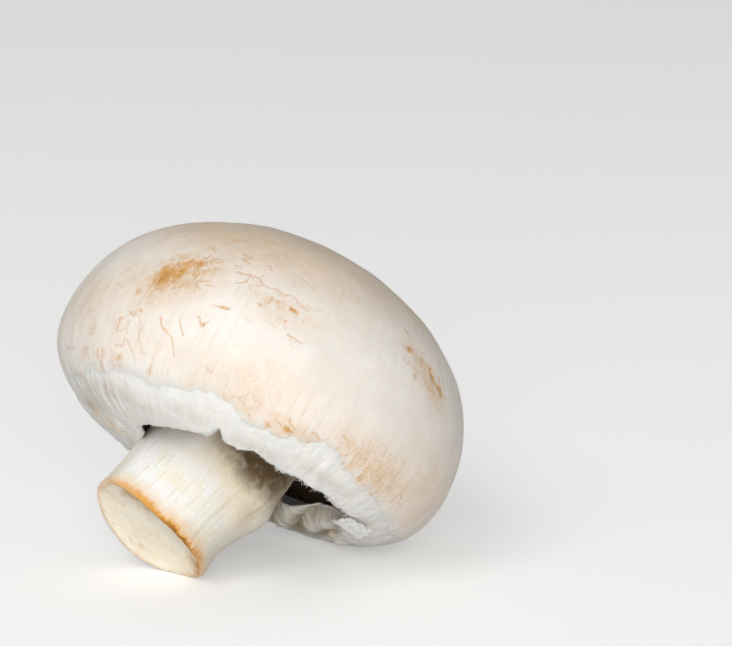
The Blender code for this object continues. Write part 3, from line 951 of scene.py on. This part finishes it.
facing = bump(angle_between(angle, math.radians(235.0)), 1.15)
# Where the painted shadow of the cap and the stain lie on the stem: near its top, strongest on the side under
# the cap.
cap_shadow_side = bump(angle_between(angle, math.radians(272.0)), 0.72)
under_cap_stain_and_shadow = smooth(0.78, 0.52, share) * (0.26 + 0.85 * cap_shadow_side)
under_cap_stain_and_shadow = np.maximum(
    under_cap_stain_and_shadow,
    0.42 * smooth(0.95, 0.7, share) * bump(angle_between(angle, math.radians(292.0)), 0.45),
)
grain_rows = [
    stem_grain(share, angle_grid), at(angle + 0.35, 8.0 * MM * cut_scale, STEM_LENGTH * 0.1)
]
stem_marks = {
    "cut": both(0.0, 1.0),
    "from_rim": both((1.0 - share) * STEM_LENGTH, (cut_scale - 1.0) * 8.2 * MM),
    "rim_side": both(0.25 + 0.75 * facing, 0.25 + 0.75 * facing),
    "rim_dark": both(*2 * (bump(angle_between(angle, math.radians(255.0)), 0.45),)),
    "stain_and_cap_shadow": both(under_cap_stain_and_shadow, 0.0),
    "cut_stain": both(0.0, bump(angle_between(angle, math.radians(190.0)), 0.7) * bump(cut_scale - 0.62, 0.25)
                      + bump(angle_between(angle, math.radians(310.0)), 0.5) * smooth(0.6, 0.95, cut_scale)),
    "grain": np.concatenate(grain_rows),
}
top, _ = stem_centre(0.0)
foot, along = stem_centre(1.0)
ends = np.array([top, foot - along * 1.25 * MM])
stem = grid_piece(
    "stem_flesh",
    lay_down(np.concatenate([side_rows, cut_rows])),
    stem_look,
    lay_down(ends),
    stem_marks,
)

# %% [markdown]
# ## Veil
# The veil is a sheet of cottony threads that once closed the gap between margin and stem.
# Here it is torn along the near side, which leaves a white band with a ragged edge, and
# still hangs in crumpled folds on the far side. It is a closed section, swept round the
# cap: down the outer face, round the edge, and back up the inner face.

# %% Veil look
def cotton_look(name, pale, deep):
    look, tree, shader = new_look(name, 0.85, 0.3)
    shader.inputs["Specular IOR Level"].default_value = 0.2
    place = object_place(tree)
    threads = cloud(tree, mark_of(tree, "grain", "Vector"), 0.45 * MM, 5.0, 0.65, 0.4)
    mottle = cloud(tree, place, 2.4 * MM, 4.0, 0.55, 0.4)
    shade = blend_colour(tree, ramp(tree, mottle, 0.3, 0.7), pale, deep)
    shade = blend_colour(tree, ramp(tree, threads, 0.55, 0.8, 0.0, 0.3), shade, colour("c9c4bb"))
    # Painted shade on the far hanging sheet, deepest in the valleys of its folds, with a brownish tint of its
    # own.
    fold_shadow_and_tint = maths(tree, "MULTIPLY", mark_of(tree, "fold_shadow_and_tint"), ramp(tree, mottle, 0.2, 0.7, 0.8, 1.0))
    shade = blend_colour(tree, fold_shadow_and_tint, shade, colour("938264"))
    greyed = maths(
        tree, "MULTIPLY", mark_of(tree, "edge_grey"), ramp(tree, mottle, 0.3, 0.62, 0.25, 1.0)
    )
    shade = blend_colour(tree, greyed, shade, EDGE_GREY)
    aged = maths(tree, "MULTIPLY", mark_of(tree, "aged"), ramp(tree, mottle, 0.35, 0.65, 0.35, 1.0))
    shade = blend_colour(tree, aged, shade, colour("dcae7a"))
    tree.links.new(shade, shader.inputs["Base Color"])
    height = maths(tree, "MULTIPLY_ADD", threads, 1.5, cloud(tree, place, 0.3 * MM, 4.0))
    relief(tree, shader, height, 0.09 * MM)
    return look


veil_look = cotton_look("veil_cotton", COTTON_WHITE, colour("edebe6"))

# %% Veil sizes
VEIL_THICKNESS = 0.7 * MM
WHOLE_TURN = math.radians(86.0)
TORN_FROM, TORN_TO = math.radians(183.0), math.radians(284.0)
CLOSED_FROM, CLOSED_TO = math.radians(165.0), math.radians(306.0)
OPEN_NEAR, CLOSED_FAR = math.radians(290.0), math.radians(336.0)
TORN_EDGE = (  # degrees round the cap, and how far round the curl the torn edge is there
    (160.0, 92.0),
    (184.0, 97.0),
    (194.0, 85.0),
    (207.0, 76.0),
    (217.0, 68.5),
    (219.5, 66.0),
    (222.5, 56.5),
    (225.5, 66.5),
    (230.5, 68.5),
    (235.0, 62.5),
    (240.0, 65.0),
    (246.0, 67.0),
    (251.0, 64.5),
    (258.0, 64.0),
    (264.0, 62.5),
    (271.0, 65.0),
    (281.0, 67.0),
    (291.0, 66.0),
    (310.0, 80.0),
)


def stem_reach(angle, height):
    """How far from the cap's axis the stem's surface lies at this angle and height."""
    share = (STEM_TOP[2] - height) / (STEM_TOP[2] - STEM_FOOT[2])
    centre = stem_centre(share)[0][..., 0]
    along = centre * np.cos(angle)
    radius = stem_radius(share, angle) + 0.15 * MM
    return along + np.sqrt(radius * radius - centre * centre + along * along)


def side_bump(angle, degrees, half_width):
    return bump(angle_between(angle, math.radians(degrees)), math.radians(half_width))


def wholeness(angle):
    """0 where the veil is torn back to the margin, 1 where it still reaches the stem."""
    return 1.0 - smooth(CLOSED_FROM, TORN_FROM, angle) + smooth(TORN_TO, CLOSED_TO, angle)


def edge_height(angle):
    low_left = 2.5 * side_bump(angle, 132.0, 57.0)
    raised = 1.3 * side_bump(angle, 311.0, 14.0) - 1.9 * side_bump(angle, 346.0, 18.0)
    return MM * (raised - 8.7 - low_left - 0.7 * side_bump(angle, 5.0, 15.0))


def crumple(angle, share):
    """Folds of the hanging sheet, which lean over as they run from margin to stem."""
    place = at(angle + 0.25 * share, 14.0 * MM, share * 3.0 * MM)
    ridges = np.abs(np.sin(6.5 * share + 3.0 * angle + 1.5 * roughness(place, 5.0 * MM, 101)))
    small = -np.abs(layered(place, 2.0 * MM, 105, 3))
    return MM * (1.25 * (ridges - 0.6) + 0.7 * (small + 0.4))


# %% Veil shape
VEIL_SIDES, CURL_RINGS, SHEET_RINGS = 740, 32, 34
angle = np.linspace(0.0, TAU, VEIL_SIDES, endpoint=False)
whole = np.clip(wholeness(angle), 0.0, 1.0)
torn_turn = np.radians(np.interp(np.degrees(angle), *zip(*TORN_EDGE)))
ring = at(angle, CAP_RADIUS, 0.0)
jag = MM * (0.32 * layered(ring, 1.8 * MM, 51, 2) + 0.22 * layered(ring, 0.6 * MM, 55, 2))
last_turn = mix(torn_turn - math.radians(4.0), WHOLE_TURN, whole)
first_turn = skin_edge(angle) - math.radians(15.0)


def veil_face(is_outer):
    """Rows of (radius, height) from root to edge, and how far along the sheet each is."""
    rows, shares = [], []
    for share in np.linspace(0.0, 1.0, CURL_RINGS):
        depth = 0.0 if is_outer else mix(MARGIN_DEPTH, MARGIN_DEPTH * 0.7, share)
        rows.append(curl_point(mix(first_turn, last_turn, share), depth, angle))
        shares.append(0.0)
    start = curl_point(last_turn, MARGIN_DEPTH * 0.35, angle)
    height = edge_height(angle)
    slit = STEM_SLIT * (1.0 - 0.85 * side_bump(angle, 150.0, 25.0))
    slit = slit + 7.6 * MM * smooth(CLOSED_FAR, OPEN_NEAR, angle) * (angle > LOOSE_SIDE)
    whole_edge = (stem_reach(angle, height) + slit + jag, height)
    inward = (-np.sin(last_turn), -np.cos(last_turn))
    torn_edge = [start[k] + inward[k] * (0.8 * MM + jag) for k in (0, 1)]
    edge = [mix(torn_edge[k], whole_edge[k], whole) for k in (0, 1)]
    slope = np.stack([edge[0] - start[0], edge[1] - start[1]])
    slope /= np.linalg.norm(slope, axis=0)
    thick = VEIL_THICKNESS / 2.0 * (1.0 if is_outer else -1.0)
    root = rows[-1]
    for share in np.linspace(0.0, 1.0, SHEET_RINGS)[1:]:
        fold = crumple(angle, np.full_like(angle, share)) * whole * smooth(0.0, 0.35, share)
        fold = fold * (1.0 - 0.75 * side_bump(angle, 150.0, 38.0))
        off = thick * (1.0 - 0.6 * share**3) + fold
        sag = 0.4 * MM * whole * math.sin(math.pi * share)
        radius = mix(start[0], edge[0], share) - slope[1] * off
        height_here = mix(start[1], edge[1], share) + slope[0] * off - sag
        joined = smooth(0.0, 0.3, share)
        rows.append((mix(root[0] + (edge[0] - start[0]) * share, radius, joined),
                     mix(root[1] + (edge[1] - start[1]) * share, height_here, joined)))
        shares.append(share)
    return rows, shares


STEM_SLIT = 1.0 * MM
outer, shares = veil_face(True)
inner, _ = veil_face(False)
swell = cap_swell(angle)
grid = np.array([at(angle, radius * swell, height) for radius, height in outer + inner[::-1]])
sheet_share = np.array(shares + shares[::-1])[:, None] + 0.0 * angle[None, :]

# %% Veil cotton and lumps
middle = at(angle, 18.0 * MM, -6.0 * MM)
away = grid - middle
away /= np.linalg.norm(away, axis=-1, keepdims=True)
run_along = np.linspace(0.0, 1.0, len(grid))[:, None] * 22.0 * MM + 0.0 * angle[None, :]
veil_grain = at(angle[None, :] + 0.0 * run_along, 22.0 * MM, run_along * 0.22)
cotton = 0.13 * MM * layered(
    veil_grain, 1.3 * MM, 61, 4
) + 0.06 * MM * layered(grid, 0.7 * MM, 65, 2)
from_root = np.linspace(0.0, 1.0, len(grid))[:, None]
cotton = cotton * smooth(0.0, 0.08, from_root) - 0.3 * MM * smooth(0.11, 0.0, from_root)


def lump(degrees, radius, height, size):
    """1 at a place near the veil's section at this angle, fading within size."""
    centre = at(np.array(math.radians(degrees)), radius * MM, height * MM)
    return bump(np.linalg.norm(grid - centre, axis=-1), size * MM)


left_lump = np.maximum(lump(143.0, 16.0, -10.7, 1.9), 0.8 * lump(152.0, 14.8, -10.5, 1.5))
right_lump = np.maximum(lump(333.0, 17.0, -10.2, 1.0), 0.8 * lump(326.0, 15.4, -10.2, 0.8))
grid = grid + away * (cotton + MM * (1.1 * left_lump + 0.7 * right_lump))[..., None]

turned_by = mix(
    first_turn, last_turn, np.minimum(1.0, 2.0 * from_root * (1.0 + SHEET_RINGS / CURL_RINGS))
)
veil_run = DOME_LENGTH + CURL * turned_by + 9.0 * MM * smooth(0.2, 0.5, from_root)
# The far sheet gets painted shade where the stem and cap shadow it, more in the valleys of its folds.
far_side = side_bump(angle, 0.0, 75.0) * smooth(0.0, 0.2, sheet_share)
valley = np.clip(
    0.5 - crumple(angle[None, :] + 0.0 * sheet_share, sheet_share) / (1.1 * MM), 0.0, 1.0
)
veil_marks = {
    "grain": veil_grain,
    "fold_shadow_and_tint": far_side * (0.5 + 0.5 * valley),
    "edge_grey": patches(angle[None, :] + 0.0 * from_root, veil_run, EDGE_GREY_PATCHES),
    "aged": np.maximum(left_lump, 0.5 * right_lump),
}
veil = grid_piece("veil_cotton", lay_down(grid), veil_look, marks=veil_marks)

# %% [markdown]
# ## The torn scrap
# At the end of the tear a scrap of veil has come loose, and stands away from the rest
# where it catches the light. Its cotton is painted lighter than the veil's, as painted
# light. It is a small four-cornered sheet, laid over the curl, lifted at its free end and
# closed by its own thickness.

# %% Torn scrap
SCRAP_CORNERS = ((279.0, 78.0), (277.5, 62.0), (286.5, 55.0), (293.0, 69.0))  # degrees, turn
SCRAP_RINGS, SCRAP_SIDES = 30, 44


def scrap_piece():
    u = np.linspace(0.0, 1.0, SCRAP_SIDES)[None, :]
    v = np.linspace(0.0, 1.0, SCRAP_RINGS)[:, None]
    corner = np.array(SCRAP_CORNERS)
    near = corner[0] * (1.0 - u[..., None]) + corner[1] * u[..., None]
    far = corner[3] * (1.0 - u[..., None]) + corner[2] * u[..., None]
    here = np.radians(near * (1.0 - v[..., None]) + far * v[..., None])
    shake = at(here[..., 0], 30.0 * MM * v + 0.0 * u, 12.0 * MM * u + 0.0 * v)
    rag = np.radians(1.1 * layered(shake, 1.1 * MM, 111, 3))
    rim = 1.0 - np.minimum(1.0, 8.0 * np.minimum(np.minimum(u, 1.0 - u), np.minimum(v, 1.0 - v)))
    turn, spin = here[..., 1] + rag * rim, here[..., 0] + rag * rim * 0.6
    lift = MM * (0.35 + 1.0 * v**1.5 + 0.15 * layered(shake, 2.0 * MM, 115, 2))
    faces = []
    for off in (0.0, -0.28 * MM):
        radius, height = curl_point(turn, -(lift + off * (1.0 - 0.8 * rim)), spin)
        faces.append(at(spin, radius * cap_swell(spin), height))
    return faces, shake, rim


scrap_faces, scrap_place, scrap_rim = scrap_piece()


def sheet_piece(name, faces, look, marks):
    """A closed thin sheet from its upper and its lower grid, joined round the rim."""
    rings, sides = faces[0].shape[:2]
    count = rings * sides
    index = np.arange(count).reshape(rings, sides)
    quads = []
    for shift, grid_index in ((0, index), (count, index[:, ::-1])):
        a, b = grid_index[:-1, :-1], grid_index[1:, :-1]
        c, d = grid_index[1:, 1:], grid_index[:-1, 1:]
        quads += (np.stack([a, b, c, d], axis=-1).reshape(-1, 4) + shift).tolist()
    rim = list(index[0]) + list(index[1:, -1]) + list(index[-1, -2::-1]) + list(index[-2:0:-1, 0])
    for i, here in enumerate(rim):
        after = rim[(i + 1) % len(rim)]
        quads.append((int(here), int(after), int(after) + count, int(here) + count))
    points = lay_down(np.concatenate([face.reshape(-1, 3) for face in faces]))
    mesh = bpy.data.meshes.new(name)
    mesh.from_pydata(points.tolist(), [], quads)
    if signed_volume(points, np.array(quads)) < 0.0:
        mesh.flip_normals()
    for mark, values in marks.items():
        flat = values.reshape(count, *values.shape[2:])
        write_mark(mesh, mark, np.concatenate([flat, flat]))
    mesh.shade_smooth()
    mesh.materials.append(look)
    print(f"{name}: {2 * len(quads)} triangles")
    return in_scene(name, mesh)


# The scrap's cotton is a lighter copy of the veil's cotton: painted light, so that the scrap reads as
# brightly lit.
scrap_painted_light_look = cotton_look("veil_scrap", colour("faf5ee"), colour("fdfaf6"))
nothing = np.zeros_like(scrap_rim + scrap_place[..., 0])
scrap_marks = {"grain": scrap_place, "fold_shadow_and_tint": nothing, "aged": nothing, "edge_grey": nothing}
scrap = sheet_piece("veil_scrap", scrap_faces, scrap_painted_light_look, scrap_marks)

# %% [markdown]
# ## Gills
# Behind the torn veil the gills stand like pages of a book, from the stem out to the
# margin. Blades of three lengths alternate, so that they stay equally close all the way
# out. Geometry Nodes bend one thin box into each blade, from a guide that stores where
# the blade stands and where it starts, and then keep the result as one plain mesh.

# %% Gills look
gill_look, tree, shader = new_look("gill_flesh", 0.75)
place = object_place(tree)
base = blend_colour(tree, cloud(tree, place, 2.0 * MM), colour("57402e"), colour("80614a"))
tree.links.new(base, shader.inputs["Base Color"])
relief(tree, shader, cloud(tree, place, 0.3 * MM), 0.05 * MM)

# %% Gills
GILLS = 240
GILL_RIM = 18.7 * MM
GILL_THICKNESS = 0.3 * MM


def gill_guide():
    """One point for each blade, with its angle and where it starts."""
    mesh = bpy.data.meshes.new("gill_guide")
    mesh.vertices.add(GILLS)
    turn = np.linspace(0.0, TAU, GILLS, endpoint=False)
    start = np.maximum(9.6 * MM, stem_reach(turn, np.full(GILLS, -4.5 * MM)) + 0.5 * MM)
    rank = np.arange(GILLS) % 4
    start = np.where(rank == 0, start, np.where(rank == 2, 12.0 * MM, 14.5 * MM))
    for name, values in (("turn", turn), ("start", start)):
        write_mark(mesh, name, values)
    return in_scene("gill_guide", mesh)


def start_tree(name, wanted, result):
    """A Geometry Nodes tree with named inputs, what to set them to, and their sockets."""
    tree = bpy.data.node_groups.new(name, "GeometryNodeTree")
    face = tree.interface
    face.new_socket("Guide", in_out="INPUT", socket_type="NodeSocketGeometry")
    sizes = {}
    for label, kind, value in wanted:
        socket = face.new_socket(label, in_out="INPUT", socket_type="NodeSocket" + kind)
        socket.default_value = value
        sizes[label] = (socket.identifier, value)
    face.new_socket(result, in_out="OUTPUT", socket_type="NodeSocketGeometry")
    return tree, sizes, tree.nodes.new("NodeGroupInput").outputs


def gill_tree():
    wanted = (
        ("Rim", "Float", GILL_RIM),
        ("Thickness", "Float", GILL_THICKNESS),
        ("Roof", "Float", ROOF_MOUTH[1]),
    )
    tree, sizes, given = start_tree("gill_blades", wanted, "Blades")
    blade = add(tree, "GeometryNodeMeshCube", {"Size": (1.0, 1.0, 1.0), 1: 8, 2: 2, 3: 4})
    placed = add(
        tree,
        "GeometryNodeInstanceOnPoints",
        {"Points": given["Guide"], "Instance": blade.outputs["Mesh"]},
    )
    real = add(tree, "GeometryNodeRealizeInstances", {"Geometry": placed.outputs["Instances"]})
    here = add(tree, "GeometryNodeInputPosition").outputs[0]
    parts = add(tree, "ShaderNodeSeparateXYZ", {0: here}).outputs
    share, side, down_by = (maths(tree, "ADD", parts[k], 0.5) for k in range(3))

    def stored(name):
        return add(
            tree, "GeometryNodeInputNamedAttribute", {"Name": name}, data_type="FLOAT"
        ).outputs[0]

    start, turn = stored("start"), stored("turn")
    radius = add(
        tree, "ShaderNodeMix", {0: share, 2: start, 3: given["Rim"]}, data_type="FLOAT"
    ).outputs[0]
    out = maths(
        tree, "DIVIDE", maths(tree, "SUBTRACT", radius, ROOF_MOUTH[0]), ROOF_RIM[0] - ROOF_MOUTH[0]
    )
    roof = maths(tree, "MULTIPLY_ADD", out, ROOF_RIM[1] - ROOF_MOUTH[1], given["Roof"])
    depth = maths(tree, "MULTIPLY_ADD", out, -2.4 * MM, 5.4 * MM)
    height = maths(
        tree,
        "SUBTRACT",
        maths(tree, "SUBTRACT", roof, 0.3 * MM),
        maths(tree, "MULTIPLY", down_by, depth),
    )
    sideways = maths(tree, "MULTIPLY", maths(tree, "SUBTRACT", side, 0.5), given["Thickness"])
    local = add(tree, "ShaderNodeCombineXYZ", {0: radius, 1: sideways, 2: height}).outputs[0]
    spun = add(
        tree, "ShaderNodeVectorRotate", {"Vector": local, "Angle": turn}, rotation_type="Z_AXIS"
    )
    moved = add(
        tree, "GeometryNodeSetPosition", {"Geometry": real.outputs[0], "Position": spun.outputs[0]}
    )
    painted = add(
        tree, "GeometryNodeSetMaterial", {"Geometry": moved.outputs[0], "Material": gill_look}
    )
    tree.links.new(painted.outputs[0], tree.nodes.new("NodeGroupOutput").inputs[0])
    return tree, sizes


def bake_tree(name, guide, tree, sizes):
    """Runs a Geometry Nodes tree once and keeps the plain mesh, in the cap's frame."""
    modifier = guide.modifiers.new(name, "NODES")
    modifier.node_group = tree
    for identifier, value in sizes.values():
        modifier[identifier] = value
    graph = bpy.context.evaluated_depsgraph_get()
    mesh = bpy.data.meshes.new_from_object(guide.evaluated_get(graph))
    bpy.data.objects.remove(guide)
    points = np.empty(len(mesh.vertices) * 3, np.float32)
    mesh.vertices.foreach_get("co", points)
    laid = lay_down(points.reshape(-1, 3).astype(float))
    mesh.vertices.foreach_set("co", laid.astype(np.float32).ravel())
    mesh.update()
    mesh.name = name
    print(f"{name}: {len(mesh.polygons)} faces")
    return in_scene(name, mesh)


gills = bake_tree("gill_blades", gill_guide(), *gill_tree())

# %% [markdown]
# ## Torn threads
# Where the veil tore, single threads stick out of its edge. Geometry Nodes put a tapered
# thread at each point of a guide, turn it to a stored direction and bend it with noise.

# %% Torn threads
THREADS = 520
THREAD_WIDTH = 0.032 * MM
THREAD_BEND = 0.5 * MM
THREAD_SEED = 5
THREADS_FROM, THREADS_TO = 186.0, 298.0  # degrees round the cap

thread_look, tree, shader = new_look("torn_thread", 0.85, 0.2)
pale = blend_colour(tree, cloud(tree, object_place(tree), 0.8 * MM), COTTON_WHITE, colour("f2f1ee"))
tree.links.new(pale, shader.inputs["Base Color"])
relief(tree, shader, cloud(tree, object_place(tree), 0.1 * MM), 0.02 * MM)


def thread_guide(rows, edge_row, seed):
    """Points along the torn edge, each with the direction and length of its thread."""
    draw = np.random.default_rng(seed)
    turned = np.linspace(0.0, 360.0, rows.shape[1], endpoint=False)
    torn = np.nonzero((turned > THREADS_FROM) & (turned < THREADS_TO))[0]
    side, back = draw.choice(torn, THREADS), draw.integers(0, 7, THREADS)
    root = rows[edge_row - back, side]
    lie = rows[edge_row, side] - rows[edge_row - 8, side]
    lie = lie / np.linalg.norm(lie, axis=-1, keepdims=True) + draw.normal(0.0, 0.45, lie.shape)
    lie *= (draw.uniform(0.15, 0.5, THREADS) * MM)[:, None]
    mesh = bpy.data.meshes.new("thread_guide")
    mesh.from_pydata(root.tolist(), [], [])
    write_mark(mesh, "lie", lie)
    return in_scene("thread_guide", mesh)


def thread_tree():
    wanted = (
        ("Width", "Float", THREAD_WIDTH),
        ("Bend", "Float", THREAD_BEND),
        ("Seed", "Int", THREAD_SEED),
    )
    tree, sizes, given = start_tree("torn_threads", wanted, "Threads")
    lie = add(
        tree, "GeometryNodeInputNamedAttribute", {"Name": "lie"}, data_type="FLOAT_VECTOR"
    ).outputs[0]
    width = add(
        tree, "FunctionNodeRandomValue", {2: 0.6, 3: 1.3, "Seed": given["Seed"]}, data_type="FLOAT"
    ).outputs[1]
    width = maths(tree, "MULTIPLY", width, given["Width"])
    size = add(
        tree, "ShaderNodeCombineXYZ", {0: width, 1: width, 2: vectors(tree, "LENGTH", lie)}
    ).outputs[0]
    along = add(tree, "FunctionNodeAlignRotationToVector", {"Vector": lie}, axis="Z").outputs[0]
    shape = {
        "Vertices": 4, "Side Segments": 5, "Radius Top": 0.2, "Radius Bottom": 1.0, "Depth": 1.0
    }
    thread = add(tree, "GeometryNodeMeshCone", shape).outputs["Mesh"]
    inputs = {"Points": given["Guide"], "Instance": thread, "Rotation": along, "Scale": size}
    placed = add(tree, "GeometryNodeInstanceOnPoints", inputs).outputs["Instances"]
    real = add(tree, "GeometryNodeRealizeInstances", {"Geometry": placed}).outputs[0]
    noise = add(
        tree, "ShaderNodeTexNoise", {"Scale": 1.0 / (0.9 * MM), "Detail": 1.0}
    ).outputs["Color"]
    bend = vectors(tree, "SUBTRACT", noise, (0.5, 0.5, 0.5))
    offset = add(
        tree, "ShaderNodeVectorMath", {0: bend, "Scale": given["Bend"]}, operation="SCALE"
    ).outputs[0]
    moved = add(tree, "GeometryNodeSetPosition", {"Geometry": real, "Offset": offset}).outputs[0]
    painted = add(tree, "GeometryNodeSetMaterial", {"Geometry": moved, "Material": thread_look})
    tree.links.new(painted.outputs[0], tree.nodes.new("NodeGroupOutput").inputs[0])
    return tree, sizes


threads = bake_tree("torn_threads", thread_guide(grid, len(outer) - 1, 31), *thread_tree())


# %% [markdown]
# ## Table and light
# The table is plain and pale. A large soft light stands high at the front left, a second
# one is low in front and reaches under the cap, and a dim white sky fills the shadows.

# %% Table and light
TABLE_GLOW = 0.32  # seen by the camera only, so that it lights nothing
SKY = 0.36


def flat_colour_look(name, shade, rough):
    look, tree, shader = new_look(name, rough)
    place = object_place(tree)
    base = blend_colour(tree, cloud(tree, place, 0.08), shade, tuple(c * 0.985 for c in shade))
    tree.links.new(base, shader.inputs["Base Color"])
    shader.inputs["Emission Color"].default_value = (1.0, 1.0, 1.0, 1.0)
    seen = add(tree, "ShaderNodeLightPath").outputs["Is Camera Ray"]
    tree.links.new(maths(tree, "MULTIPLY", seen, TABLE_GLOW), shader.inputs["Emission Strength"])
    return look


mesh = bpy.data.meshes.new("floor")
size = 3.0
mesh.from_pydata(
    [(-size, -size, 0), (size, -size, 0), (size, size, 0), (-size, size, 0)], [], [(0, 1, 2, 3)]
)
mesh.materials.append(flat_colour_look("floor", colour("e8e8e7"), 0.8))
floor = in_scene("floor", mesh)

world = bpy.data.worlds.new("studio")
bpy.context.scene.world = world
world.use_nodes = True
world.node_tree.nodes["Background"].inputs["Color"].default_value = (1.0, 1.0, 1.0, 1.0)
world.node_tree.nodes["Background"].inputs["Strength"].default_value = SKY
bpy.context.scene.view_settings.view_transform = "Standard"


def soft_light(name, where, size, power):
    lamp = bpy.data.lights.new(name, "AREA")
    lamp.size, lamp.energy = size, power
    lit = in_scene(name, lamp)
    lit.location = cap_centre + Vector(where)
    lit.rotation_euler = (cap_centre - lit.location).to_track_quat("-Z", "Y").to_euler()


soft_light("key", (-0.354, -0.612, 0.707), 0.5, 2.85)
soft_light("front", (0.0, -0.966, 0.259), 0.5, 5.3)

# %% [markdown]
# ## Ride and finish
# Every piece is tied to the root body, and the solid it stands for is hidden. The
# table also names each piece's slot.

# %% Ride and finish
PIECES = (
    (cap, "cap", "cap_skin"),
    (stem, "stem", "stem_flesh"),
    (veil, "veil", "veil_membrane"),
    (scrap, "veil", "veil_membrane"),
    (threads, "veil", "veil_membrane"),
    (gills, "gills", "gill_flesh"),
)
for piece, node, slot in PIECES:
    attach(piece, "root")
    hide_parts(node)
